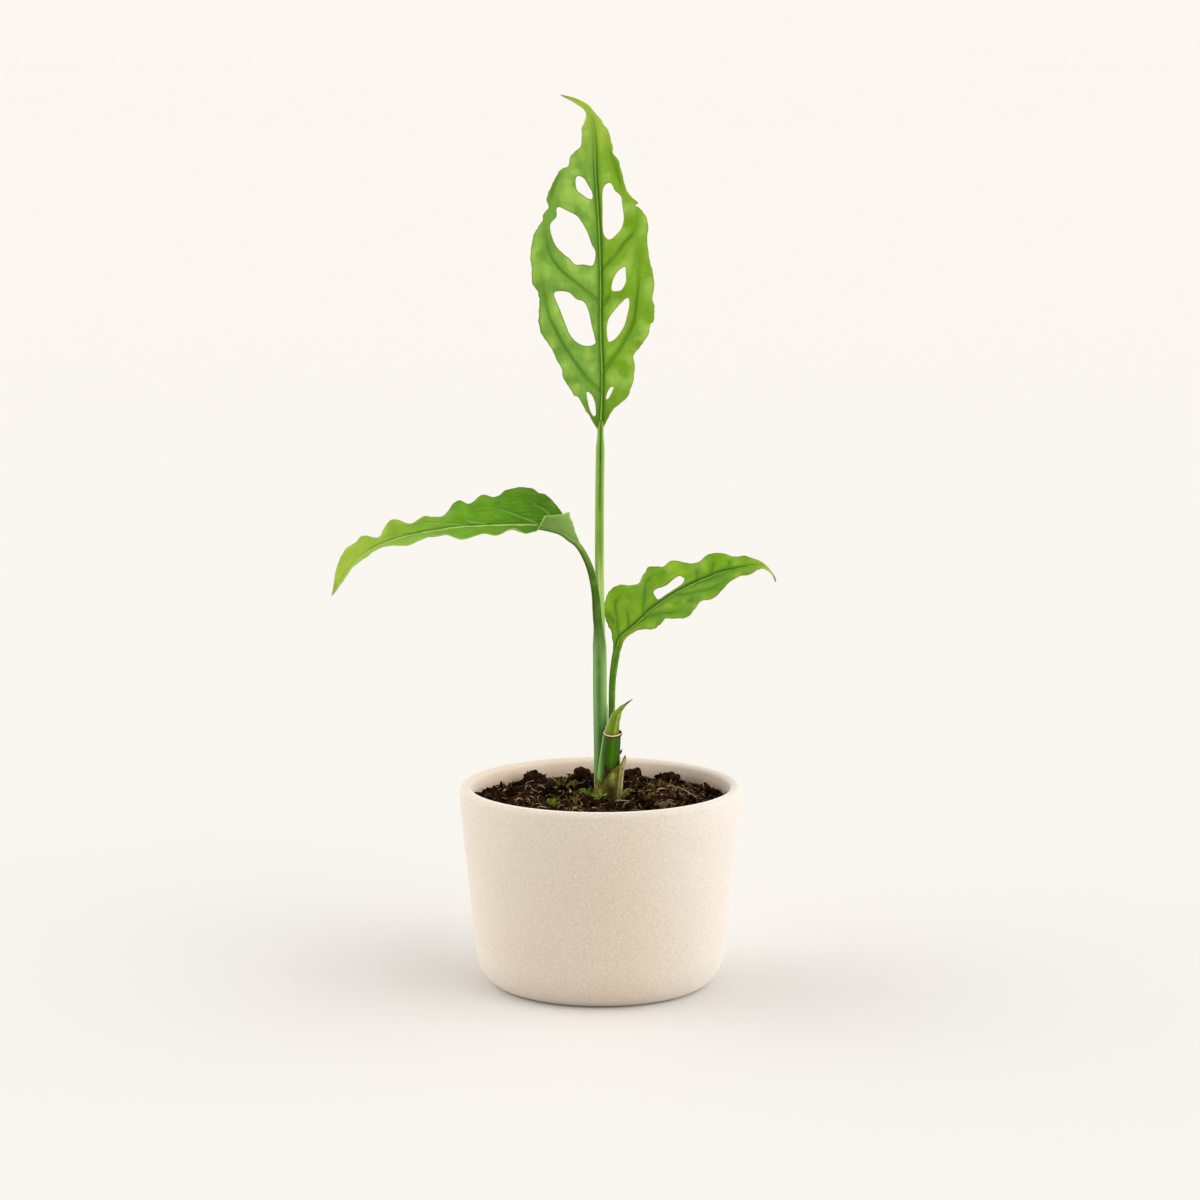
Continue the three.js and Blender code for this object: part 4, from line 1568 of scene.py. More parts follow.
@dataclass
class Pot:
    """The round pot: a wall that leans out a little, a rounded lip and a rounded foot."""

    height: float = 64.8
    foot_radius: float = 31.5
    foot_reach: float = 9.0
    foot_rise: float = 14.0
    wall_radius_at_floor: float = 39.2
    wall_slope: float = 0.101
    rim_radius: float = 45.0
    lip_radius: float = 1.83
    shoulder: float = 58.0
    floor_top: float = 5.0
    base_rings: Sequence[float] = (4.0, 16.0, 26.0)
    floor_rings: Sequence[float] = (26.0, 14.0, 4.0)
    sides: int = 256
    wobble: float = 0.06
    finish: GlazeFinish = GlazeFinish()

    def outer_radius(self, height: float) -> float:
        """The outside radius of the wall at a height."""
        return self.wall_radius_at_floor + self.wall_slope * height

    def foot(self, bottom: float, reach: float, rise: float, steps: int) -> list[tuple]:
        """Draws the curve from a flat floor into the wall.

        Args:
            bottom: the floor's height.
            reach: how far the curve goes outward.
            rise: how far it goes up.
            steps: how many places it has.

        Returns:
            Pairs of radius and height.
        """
        end = -math.atan(self.wall_slope * rise / reach)
        angles = np.linspace(-math.pi / 2, end, steps)
        x, z = self.foot_radius, bottom + rise
        return [(x + reach * math.cos(a), z + rise * math.sin(a)) for a in angles]

    def profile(self) -> np.ndarray:
        """The section from the middle of the base, over the lip and down to the inside floor.

        Returns:
            Pairs of radius and height.
        """
        wall = 2 * self.lip_radius
        room = self.foot_rise + 2
        outer = np.linspace(room, self.shoulder, 16)
        inner = np.linspace(self.shoulder - wall, self.floor_top + room - wall, 12)
        outside = [(self.outer_radius(z), z) for z in outer]
        inside = [(self.outer_radius(z) - wall, z) for z in inner]
        centre, lift = self.rim_radius - self.lip_radius, self.height - self.lip_radius
        lip = [
            (centre + self.lip_radius * math.cos(a), lift + self.lip_radius * math.sin(a))
            for a in np.linspace(0, math.pi, 17)
        ]
        inner_foot = self.foot(self.floor_top, self.foot_reach - wall, self.foot_rise - wall, 10)
        base = [(r, 0.0) for r in self.base_rings]
        floor = [(r, self.floor_top) for r in self.floor_rings]
        outer_foot = self.foot(0.0, self.foot_reach, self.foot_rise, 20)
        return np.array([*base, *outer_foot, *outside, *lip, *inside, *inner_foot[::-1], *floor])

    def body(self) -> Body:
        """Turns the section round the pot's axis.

        Returns:
            A closed body that holds inside and crown.
        """
        section = self.profile()
        turn = turns(self.sides)
        wave = np.sin(3 * turn + 0.7) + 0.6 * np.sin(5 * turn + 2.0)
        radius = section[:, :1] + self.wobble * wave * (section[:, 1:] / self.height)
        high = np.repeat(section[:, 1:], self.sides, 1)
        points = np.stack([radius * np.cos(turn), radius * np.sin(turn), high], -1)
        row = np.arange(len(section))
        # crown marks the lip, which holds painted highlight and shade; inside marks the inner wall.
        crown = int(np.argmax(section[:, 1]))
        inside = np.repeat(ramp(row, crown + 1, crown + 8), self.sides)
        edge = np.repeat(bell(row - crown, 1.6), self.sides)
        faces = tube_faces(len(section), self.sides)
        return Body(points.reshape(-1, 3), faces, {"inside": inside, "crown": edge})

    def build(self, effects: Effects) -> None:
        """Makes the pot."""
        skin = self.finish.build("pot_glaze", effects)
        show("pot_wall", self.body(), skin, ["pot"])


# Soil


@dataclass(frozen=True)
class Clod:
    """A round spot of the soil: a lump or pit, or painted shade whose rise is the light it takes."""

    x: float
    y: float
    rise: float
    spread: float
    sink: float = 0.0

    def near(self, x: np.ndarray | float, y: np.ndarray | float) -> np.ndarray:
        """Its rise at a place, down to nothing over about two spreads."""
        return self.rise * np.exp(-((x - self.x) ** 2 + (y - self.y) ** 2) / self.spread**2)


@dataclass(frozen=True)
class Crumbs:
    """One sort of loose bits: how many, their radii, how fine, and the odds of each tint."""

    name: str
    count: int
    small: float
    large: float
    detail: int
    odds: Sequence[float]


@dataclass(frozen=True)
class Sprig:
    """A tuft of moss: its middle, how far it spreads, and how many stems it has."""

    x: float
    y: float
    reach: float
    stems: int
    tint: Colour


@dataclass(frozen=True)
class Thread:
    """A fibre that lies on the soil from one spot to another."""

    start: tuple[float, float]
    end: tuple[float, float]
    radius: float
    tint: Colour
    lift: float = 1.0
    bow: float = 0.1


@dataclass
class Soil:
    """The dark crumbly mix in the pot, with its crumbs, fibres and moss."""

    pot: Pot
    middle: float = 61.0
    edge_drop: float = 2.2
    edge_radius: float = 40.0
    lump: float = 0.7
    back_drop: float = 1.0
    wall_room: float = 0.3
    lower_rings: Sequence[float] = (54.0, 16.0)
    rings: int = 96
    spokes: int = 300
    threads: int = 1250
    seed: int = 11
    slot: str = "potting_soil"
    ground_tints: tuple[Colour, Colour] = (srgb(4, 2, 1), srgb(66, 42, 25))
    clod_tints: tuple[Colour, Colour] = (srgb(5, 3, 2), srgb(68, 43, 27))
    crumb_tints: Sequence[Colour] = (
        srgb(9, 5, 3),
        srgb(24, 14, 7),
        srgb(54, 34, 18),
        srgb(96, 62, 36),
        srgb(84, 44, 26),
        srgb(196, 158, 112),
    )
    crumbs: Sequence[Crumbs] = (
        Crumbs("soil_crumbs", 2400, 0.22, 0.8, 2, (0.3, 0.24, 0.18, 0.15, 0.06, 0.07)),
        Crumbs("soil_chunks", 170, 0.7, 1.9, 3, (0.46, 0.34, 0.16, 0.03, 0.01, 0.0)),
    )
    fibre_tints: Sequence[Colour] = (
        srgb(88, 60, 38),
        srgb(132, 96, 64),
        srgb(42, 26, 15),
        srgb(214, 184, 142),
    )
    fibre_odds: Sequence[float] = (0.36, 0.3, 0.18, 0.16)
    clods: Sequence[Clod] = (
        Clod(-22, 27, 3.2, 5, 1.1),
        Clod(-6, 29, 3.6, 4),
        Clod(10.5, 28, 3, 4.5, 0.5),
        Clod(23, 25, 2.4, 4.5),
        Clod(31, 14, 1.6, 4),
        Clod(-31, 8, 1, 6),
        Clod(13, -12, 0.9, 5),
    )
    knobbly: int = 5
    pits: Sequence[Clod] = (Clod(-5, 13, -2.4, 4.5), Clod(-9, 7, -1.2, 4), Clod(9, 9, -1.0, 4))
    # Patches of painted shade in the soil's hollows, under the sheath and near the wall.
    shades: Sequence[Clod] = (
        Clod(-5.5, 17, 0.93, 6.5),
        Clod(-8.5, 9, 0.8, 4.5),
        Clod(8.5, 14, 0.8, 4.5),
        Clod(4, -9.5, 0.75, 3.5),
        Clod(-28, 6, 0.4, 5),
        Clod(12, -22, 0.55, 9),
        Clod(33, -4, 0.5, 5),
        Clod(-35, -6, 0.5, 6),
    )
    stems: Points = ((0.0, -0.6, 2.5), (3.3, 1.6, 1.3), (2.4, -4.7, 4.9))
    sprigs: Sequence[Sprig] = (
        Sprig(-12.0, 11.0, 4.6, 8, srgb(130, 126, 48)),
        Sprig(-15.3, -16.5, 2.2, 12, srgb(136, 160, 52)),
        Sprig(-8.0, -14.5, 1.8, 6, srgb(138, 130, 54)),
        Sprig(-3.2, -4.6, 3.4, 13, srgb(152, 184, 72)),
        Sprig(-0.4, -9.4, 2.6, 11, srgb(148, 178, 72)),
        Sprig(7.4, -6.6, 2.4, 8, srgb(160, 176, 86)),
        Sprig(18.6, 12.5, 3.2, 8, srgb(143, 133, 67)),
        Sprig(14.5, -8.5, 3.2, 8, srgb(129, 127, 57)),
        Sprig(19.2, -20.5, 2.3, 7, srgb(131, 124, 68)),
        Sprig(24.0, 7.0, 1.8, 4, srgb(146, 132, 73)),
    )
    long_threads: Sequence[Thread] = (
        Thread((-12, 22), (-2.8, 15.6), 0.22, srgb(120, 84, 60), 0.7),
        Thread((20, 17), (31, -7), 0.13, srgb(186, 168, 136), 1.1, 0.02),
        Thread((7.0, 1.0), (10.5, 5.0), 0.16, srgb(190, 140, 78), 2.0),
        Thread((6.8, -0.5), (11.0, 2.0), 0.14, srgb(166, 110, 56), 1.6),
        Thread((-29.5, 16.8), (-27.5, 12.0), 0.26, srgb(150, 120, 70), 1.2),
        Thread((-27.0, -9.5), (-24.5, -6.5), 0.26, srgb(172, 138, 92), 0.9),
        Thread((-23.8, -7.0), (-22.4, -10.0), 0.24, srgb(160, 126, 82), 0.8),
        Thread((4.0, -11.0), (9.5, -12.4), 0.2, srgb(170, 180, 150), 0.8),
    )

    def height(self, x: np.ndarray, y: np.ndarray) -> np.ndarray:
        """The smooth height of the soil, as in its solid.

        Args:
            x: how far to the right.
            y: how far back.

        Returns:
            The height at each place.
        """
        waves = np.sin(0.55 * x + 0.9) * np.cos(0.48 * y - 0.4)
        waves += 0.6 * np.sin(0.93 * x - 0.71 * y)
        high = self.middle - self.edge_drop * (x**2 + y**2) / self.edge_radius**2
        high = high + self.lump * waves
        for clod in [*self.clods, *self.pits]:
            high = high + clod.near(x, y)
        return high

    def surface(self, spots: np.ndarray) -> np.ndarray:
        """The rough height of the soil.

        Args:
            spots: the flat spots.

        Returns:
            The height at each spot.
        """
        places = np.column_stack([spots, np.zeros(len(spots))])
        high = self.height(spots[:, 0], spots[:, 1])
        high += 2 * (0.45 - np.abs(rough(places, 3.4, 1.0, 2)))
        high += 0.7 * rough(places, 1.5, 2.0, 2)
        gap = np.min([np.hypot(*(spots - (x, y)).T) - r for x, y, r in self.stems], axis=0)
        return high - 0.5 * bell(gap, 2.0) - self.back_drop * ramp(spots[:, 1], 14, 28)

    def daylight(self, x: np.ndarray | float, y: np.ndarray | float) -> np.ndarray:
        """How light the soil is painted, where its painted shade darkens it.

        Args:
            x: how far to the right.
            y: how far back.

        Returns:
            Near 0 in its patches of painted shade, and 1 away from them.
        """
        light = np.ones(np.shape(x))
        for shade in self.shades:
            light = light * (1 - shade.near(x, y))
        return light

    def ground(self) -> Body:
        """The filling itself, from its rough top down to the pot's floor.

        Returns:
            A closed body that holds paint.
        """
        pot = self.pot
        wall = 2 * pot.lip_radius + self.wall_room
        rim = pot.outer_radius(self.middle - self.edge_drop) - wall
        turn = turns(self.spokes)
        spokes = np.stack([np.cos(turn), np.sin(turn)], -1)
        reach = rim * np.linspace(0.004, 1, self.rings) ** 0.9
        spots = (reach[:, None, None] * spokes).reshape(-1, 2)
        lower = [(pot.outer_radius(z) - wall, z) for z in self.lower_rings]
        lower += [(pot.foot_radius, pot.floor_top + self.wall_room)]
        rows = [np.column_stack([r * spokes, np.full_like(turn, z)]) for r, z in lower]
        points = np.vstack([np.column_stack([spots, self.surface(spots)]), *rows])
        faces = [face[::-1] for face in tube_faces(self.rings + len(lower), self.spokes)]
        relief = points[:, 2] - self.height(points[:, 0], points[:, 1])
        # Painted shade in the low places and painted light on the raised ones, with random tone and
        # painted shade.
        tint = np.clip(0.3 + 0.35 * relief + 0.3 * rough(points, 5.0, 4.0, 3), 0, 1)
        light = tint * self.daylight(points[:, 0], points[:, 1])
        dark, brown = self.ground_tints
        colours = np.tile(np.array(dark), (len(points), 1))
        return Body(points, faces, {"paint": painted(colours, brown, light)})

    def free_spots(self, chance: np.random.Generator, count: int, room: float) -> np.ndarray:
        """Draws random spots on the soil that lie clear of the stems and of the wall.

        Args:
            chance: the source of random numbers.
            count: the most spots that are wanted.
            room: how far they stay from stems and wall.

        Returns:
            The flat spots.
        """
        rim = self.pot.outer_radius(self.middle) - 2 * self.pot.lip_radius - 1.0
        spots = chance.uniform(-rim, rim, (count * 3, 2))
        free = np.hypot(*spots.T) < rim - room
        for x, y, radius in self.stems:
            free &= np.hypot(*(spots - (x, y)).T) > radius + room
        return spots[free][:count]

    def loose(self, chance: np.random.Generator, sort: Crumbs) -> Body:
        """Crumbs of the mix, each a knobbly ball of its own shape and tint, with painted light and
        shade.

        Args:
            chance: the source of random numbers.
            sort: their number, sizes and tints.

        Returns:
            All crumbs as one body that holds paint.
        """
        ball, corners = round_ball(sort.detail)
        spots = self.free_spots(chance, sort.count, sort.large)
        high = self.surface(spots)
        points, faces, paint = [], [], []
        for index, spot in enumerate(spots):
            size = sort.small + (sort.large - sort.small) * chance.random() ** 2.2
            stretch = chance.uniform((0.3, 0.35, 0.9), (0.75, 0.9, 2.0))
            shape = ball * (1 + 0.5 * rough(ball, 0.8, index * 0.37, 2))[:, None]
            for cut in unit(chance.normal(size=(6, 3))):
                over = np.maximum(0, shape @ cut - chance.uniform(0.35, 0.75))
                shape = shape - over[:, None] * cut
            spin = np.linalg.qr(chance.normal(size=(3, 3)))[0]
            shape = (shape * stretch * size) @ spin
            lift = high[index] + size * chance.uniform(-0.1, 0.6)
            points.append(shape + [*spot, lift])
            facing = corners if np.linalg.det(spin) > 0 else corners[:, ::-1]
            faces.append(facing + index * len(ball))
            tint = self.crumb_tints[chance.choice(len(self.crumb_tints), p=sort.odds)]
            # Painted light on each crumb's top and painted shade beneath it, and the soil's painted
            # shade.
            lit = 0.05 + 1.4 * ramp(shape[:, 2], -0.3 * size, 0.8 * size)
            lit = lit * (1 + 0.8 * rough(shape / size, 0.5, index * 0.21, 2))
            lit = np.clip(lit, 0.03, 2.5) * self.daylight(*spot)
            paint.append(np.array(tint) * lit[:, None])
        every = list(map(tuple, np.vstack(faces).tolist()))
        return Body(np.vstack(points), every, {"paint": np.vstack(paint)})

    def big_clods(self) -> Body:
        """The knobbly lumps that stand out of the soil at its back and side.

        Returns:
            All lumps as one body that holds paint.
        """
        ball, corners = round_ball(5)
        dark, brown = self.clod_tints
        colours = np.tile(np.array(dark), (len(ball), 1))
        bodies = []
        for index, clod in enumerate(self.clods[: self.knobbly]):
            size = 0.52 * clod.spread
            knobs = 1 + 0.34 * rough(ball, 0.7, 3.0 + index, 2)
            knobs += 0.4 * (0.4 - np.abs(rough(ball, 0.28, 9.0 + index, 2)))
            shape = ball * knobs[:, None] * [1.15 * size, 0.95 * size, 0.9 * size]
            high = float(self.height(np.array(clod.x), np.array(clod.y)))
            points = shape + [clod.x, clod.y, high - 0.45 * size - clod.sink]
            tint = np.clip(0.5 + 0.6 * rough(points, 1.6, 5.0, 3), 0, 1)
            bodies.append(Body(points, corners.tolist(), {"paint": painted(colours, brown, tint)}))
        return bodies[0].joined(bodies[1:])

    def thread(self, chance: np.random.Generator, laid: Thread) -> Body:
        """Bends one fibre at random and lays it over the soil's bumps.

        Args:
            chance: the source of random numbers.
            laid: the fibre.

        Returns:
            A closed body that holds paint.
        """
        start, end = np.array(laid.start, float), np.array(laid.end, float)
        way = end - start
        share = np.linspace(0, 1, 7)
        hump = np.sin(math.pi * share)
        length = float(np.linalg.norm(way))
        aside = np.array([-way[1], way[0]]) / max(length, 1e-6)
        bend = chance.normal(0, laid.bow * length) * hump
        flat = start + way * share[:, None] + aside * bend[:, None]
        high = self.surface(flat)
        arch = laid.lift * hump * chance.uniform(0.5, 1.2)
        smooth = np.maximum(high, np.convolve(np.pad(high, 1, "edge"), np.ones(3) / 3, "valid"))
        straight = np.linspace(smooth[0], smooth[-1], len(share))
        level = straight + 0.4 * (smooth - straight)
        path = np.column_stack([flat, level + arch + laid.radius * 0.6])
        radius = [(x, laid.radius * wide) for x, wide in ((0, 0.5), (0.3, 1), (0.8, 0.8), (1, 0.3))]
        return Stalk(list(map(tuple, path)), radius, laid.tint, sides=6, step=0.8).body()

    def fibres(self, chance: np.random.Generator) -> Body:
        """Strews the short fibres over the soil, after the long ones.

        Args:
            chance: the source of random numbers.

        Returns:
            All fibres as one body that holds paint.
        """
        laid = list(self.long_threads)
        for spot in self.free_spots(chance, self.threads, 4.0):
            heading, length = chance.uniform(0, 2 * math.pi), chance.uniform(1.4, 5.6)
            end = spot + 0.5 * length * np.array([math.cos(heading), math.sin(heading)])
            start = 2 * spot - end
            shade = self.fibre_tints[chance.choice(len(self.fibre_tints), p=self.fibre_odds)]
            # The soil's painted shade darkens each fibre's tint.
            tint = tuple(np.array(shade) * float(self.daylight(*spot)))
            ends = (tuple(start), tuple(end))
            laid.append(Thread(*ends, chance.uniform(0.04, 0.12), tint, chance.uniform(0.1, 0.8)))
        bodies = [self.thread(chance, one) for one in laid]
        return bodies[0].joined(bodies[1:])

    @staticmethod
    def shaded(tint: Colour, light: float) -> Colour:
        """A tint in more or less light, and still opaque."""
        return (*(part * light for part in tint[:3]), 1.0)

    def moss(self, chance: np.random.Generator) -> Body:
        """The sprigs of moss: short bent stems with small pointed leaves all along them.

        Args:
            chance: the source of random numbers.

        Returns:
            All sprigs as one body that holds paint.
        """
        bodies = []
        for sprig in self.sprigs:
            heading = chance.uniform(0, 2 * math.pi)
            for _ in range(sprig.stems):
                heading += 2.4 + chance.normal(0, 0.3)
                reach = sprig.reach * chance.uniform(0.45, 1.0)
                way = np.array([math.cos(heading), math.sin(heading)])
                foot = np.array([sprig.x, sprig.y]) + way * reach * 0.12
                end = foot + way * reach
                low, far = map(float, self.surface(np.array([foot, end])))
                high = max(low, far) + chance.uniform(0.9, 2.4)
                peak = (low + high) / 2 + chance.uniform(0.6, 1.3)
                path = [(*foot, low - 0.3), (*(foot + end) / 2, peak), (*end, high)]
                tint = self.shaded(sprig.tint, chance.uniform(0.5, 1.4))
                stem = Stalk(path, [(0, 0.14), (1, 0.09)], tint, sides=6, step=0.6)
                bodies.append(stem.body())
                bodies += self.leaflets(chance, Curve(path), tint)
        return bodies[0].joined(bodies[1:])

    def leaflets(self, chance: np.random.Generator, stem: Curve, tint: Colour) -> list[Body]:
        """The small leaves of one moss stem.

        Args:
            chance: the source of random numbers.
            stem: the stem's line.
            tint: the stem's colour.

        Returns:
            A thin closed blade for each leaf, which holds paint.
        """
        bodies = []
        for place in np.arange(0.15, 1.02, 0.085):
            root = stem.at(place * stem.length)
            along = stem.direction(place * stem.length, 0.4)
            turn = chance.uniform(0, 2 * math.pi)
            aside = unit(np.cross(along, [0.3, 0.2, 1.0]))
            out = aside * math.cos(turn) + np.cross(along, aside) * math.sin(turn)
            way = unit(along * 0.9 + out)
            wide = unit(np.cross(way, out))
            thin = np.cross(way, wide)
            length = chance.uniform(0.6, 1.25)
            half = 0.12 * length
            points = [
                root,
                root + way * length * 0.5 + wide * half,
                root + way * length,
                root + way * length * 0.5 - wide * half,
                root + way * length * 0.45 + thin * 0.09,
                root + way * length * 0.45 - thin * 0.07,
            ]
            faces = [(0, 1, 4), (1, 2, 4), (2, 3, 4), (3, 0, 4)]
            faces += [(1, 0, 5), (2, 1, 5), (3, 2, 5), (0, 3, 5)]
            shade = self.shaded(tint, chance.uniform(0.3, 1.6))
            bodies.append(Body(np.array(points), faces, {"paint": np.tile(shade, (6, 1))}))
        return bodies

    def build(self, effects: Effects) -> None:
        """Makes the filling and all that lies on it.

        Args:
            effects: the shared node groups.
        """
        chance = np.random.default_rng(self.seed)
        earth = EarthFinish().build("soil_earth", effects)
        show("soil_filling", self.ground(), earth, ["soil"], 80)
        bits = EarthFinish(0.8, 0.5, 1300.0).build("soil_bits", effects)
        show("soil_clods", self.big_clods(), bits, sharp=80)
        for sort in self.crumbs:
            show(sort.name, self.loose(chance, sort), bits, sharp=45)
        fibre = EarthFinish(0.7, 0.3, 2000.0).build("soil_fibre", effects)
        show("soil_fibres", self.fibres(chance), fibre, sharp=80)
        green = EarthFinish(0.6, 0.65, 2600.0).build("moss_green", effects)
        show("soil_moss", self.moss(chance), green, sharp=40)


# Old stem


@dataclass
class Stub:
    """The cut stem: a slanted top with a pale rim, and a small spur on its right."""

    path: Points = ((2.2, -4.7, 52.3), (2.4, -4.7, 66), (2.9, -4.7, 74), (3.85, -4.7, 84))
    radius: Table = ((0.0, 3.5), (0.5, 3.45), (1.0, 2.8))
    flare: float = 0.55
    cut_height: float = 82.5
    cut_back: float = 0.277
    cut_right: float = -0.02
    rim: float = 0.5
    pocket: float = 2.4
    sides: int = 72
    rows: int = 70
    skin: Colour = srgb(52, 90, 1)
    # The dark stripes at turns 74, 180 and -32 are painted shade on the right, back and front left.
    stripes: Sequence[Stripe] = (
        Stripe(74, 20, srgb(26, 46, 4), 0.8, 0, 99),
        Stripe(180, 70, srgb(26, 46, 4), 0.5, 0, 99),
        Stripe(12, 14, srgb(76, 128, 10), 0.55, 72, 99, 4),
        Stripe(-32, 14, srgb(30, 58, 4), 0.25, 72, 99, 4),
        Stripe(-58, 20, srgb(96, 148, 74), 0.85, 0, 73.5, 4.5),
        # Thin pale lines at turns -78 and 84: painted highlights along the stem's edges.
        Stripe(-78, 10, srgb(160, 204, 110), 0.95, 0, 99),
        Stripe(84, 5, srgb(120, 168, 70), 0.8, 73, 99, 2),
    )
    stain: Colour = srgb(52, 34, 8)
    pith: Colour = srgb(252, 232, 190)
    scar: Colour = srgb(70, 34, 14)
    hollow: Colour = srgb(96, 66, 30)
    finish: StalkFinish = StalkFinish(srgb(74, 104, 34), 0.2, 0.25, 0.4, 0.03, 0.08)
    spur_path: Points = ((4.9, -4.8, 75.2), (6.2, -4.8, 75.8), (6.9, -4.8, 77))
    spur_radius: Table = ((0, 0.6), (0.6, 0.4), (1, 0.12))
    spur_tint: Colour = srgb(40, 26, 14)

    def top(self, x: np.ndarray, y: np.ndarray) -> np.ndarray:
        """The height of the cut at a place."""
        x0, y0, _ = self.path[-1]
        return self.cut_height + self.cut_back * (y - y0) + self.cut_right * (x - x0)

    def ring(self, z: np.ndarray, inset: float) -> np.ndarray:
        """Lays one row of points round the stem.

        Args:
            z: the height of each point.
            inset: how far the row lies inside the skin.

        Returns:
            The points.
        """
        line = np.asarray(self.path, float)
        turn = turns(self.sides)
        share = (z - line[0, 2]) / (line[-1, 2] - line[0, 2])
        ribs = 0.05 * np.cos(9 * turn) * ramp(share, 0.2, 0.5)
        reach = eased(self.radius, share) + ribs - inset
        lip = bell(turned(np.degrees(turn), 96), 30) * ramp(z, self.cut_height - 1.6, 82.2)
        reach += self.flare * lip
        x = np.interp(z, line[:, 2], line[:, 0]) + reach * np.sin(turn)
        return np.stack([x, line[0, 1] - reach * np.cos(turn), z], -1)

    def cut(self, inset: float, drop: float) -> np.ndarray:
        """Lays one row of points in the cut's plane.

        Args:
            inset: how far the row lies inside the skin.
            drop: how far it lies below the plane.

        Returns:
            The points.
        """
        z = np.full(self.sides, self.cut_height)
        for _ in range(4):
            x, y, _ = self.ring(z, inset).T
            z = self.top(x, y) - drop
        return self.ring(z, inset)

    def body(self) -> Body:
        """The stem's skin up to the cut, its rim, and the hollow that holds the bud.

        Returns:
            A closed body that holds paint.
        """
        bottom = self.path[0][2]
        crown = self.cut(0.0, 0.25)[:, 2]
        skin = [
            self.ring(bottom + (crown - bottom) * share, 0.0)
            for share in np.linspace(0, 1, self.rows)
        ]
        steps = ((0.07, 0.05), (0.2, 0.0), (self.rim - 0.1, 0.02), (self.rim, 0.2))
        steps += ((self.rim + 0.05, self.pocket), (1.6, self.pocket + 0.1))
        points = np.array(skin + [self.cut(inset, drop) for inset, drop in steps])
        faces = tube_faces(len(points), self.sides)
        return Body(points.reshape(-1, 3), faces, {"paint": self.paint(points)})

    def paint(self, points: np.ndarray) -> np.ndarray:
        """Paints stripes and stains below the cut, and a dark scar and pale pith on it.

        Args:
            points: all rows of points.

        Returns:
            The colour of each point.
        """
        degrees = np.tile(np.degrees(turns(self.sides)), len(points))
        spots = points.reshape(-1, 3)
        high = spots[:, 2]
        colours = striped(self.skin, self.stripes, degrees, high)
        front = turned(degrees, 0.0)
        blots = ramp(rough(spots, 2.0, 3.0), -0.3, 0.25) * ramp(front, -52, -14)
        band = ramp(high, 62, 66) * (1 - ramp(high + 0.02 * front, 71, 73.5))
        colours = painted(colours, self.stain, 0.95 * blots * band)
        crown = np.tile(points[self.rows - 1, :, 2], len(points))
        colours = painted(colours, self.scar, bell(high - crown, 0.5))
        first, rim, hollow = ((self.rows + k) * self.sides for k in (0, 2, 4))
        colours[first:] = self.pith
        flecks = 0.35 * ramp(rough(spots[first:], 0.9, 5.0), 0.0, 0.6)
        colours[first:] = painted(colours[first:], self.scar, flecks)
        colours[rim:hollow] = self.scar
        colours[hollow:] = self.hollow
        return colours

    def build(self, effects: Effects) -> None:
        """Makes the cut stem and its spur.

        Args:
            effects: the shared node groups.
        """
        skin = self.finish.build("old_stem_skin", effects)
        spur = Stalk(self.spur_path, self.spur_radius, self.spur_tint, sides=16, step=0.2)
        show("stem_stub_skin", self.body().joined([spur.body()]), skin, ["stem_stub"])


@dataclass
class Bud:
    """The pointed sheath that comes out of the cut stem."""

    stalk: Stalk = field(
        default_factory=lambda: Stalk(
            path=(
                (3.3, -4.7, 79.4), (3.6, -4.7, 82.5), (4.7, -4.7, 87), (6.1, -4.7, 89.6),
                (8.1, -4.7, 91.6), (10.2, -4.7, 93.2),
            ),
            radius=((0, 2.1), (0.2, 2.25), (0.5, 1.6), (0.7, 0.78), (0.85, 0.34), (1, 0.12)),
            skin=srgb(114, 145, 22),
            stripes=(
                Stripe(64, 18, srgb(94, 126, 24), 0.7),
                # A painted highlight along the bud.
                Stripe(24, 9, srgb(168, 180, 70), 0.8, 0.2, 0.62),
                Stripe(-4, 11, srgb(94, 126, 20), 0.7),
                Stripe(-36, 12, srgb(124, 154, 32), 0.6),
                Stripe(-76, 11, srgb(196, 220, 132), 0.95, -1, 0.84),
                Stripe(88, 8, srgb(158, 178, 74), 0.7, -1, 0.7),
                Stripe(0, 400, srgb(138, 108, 46), 0.75, -1, 0.2),
                Stripe(0, 400, srgb(88, 94, 40), 0.85, 0.8, 2),
            ),
            ridges=(Ridge(-74, 12, 0.12, 0, 0.8), Ridge(20, 9, 0.08, 0, 0.6)),
            sides=48,
            step=0.3,
        )
    )
    finish: StalkFinish = StalkFinish(srgb(206, 186, 90), 0.55, 0.3, 0.42, 0.2)

    def build(self, effects: Effects) -> None:
        """Makes the bud."""
        skin = self.finish.build("young_bud_skin", effects)
        show("bud_skin", self.stalk.body(), skin, ["bud_sheath"])


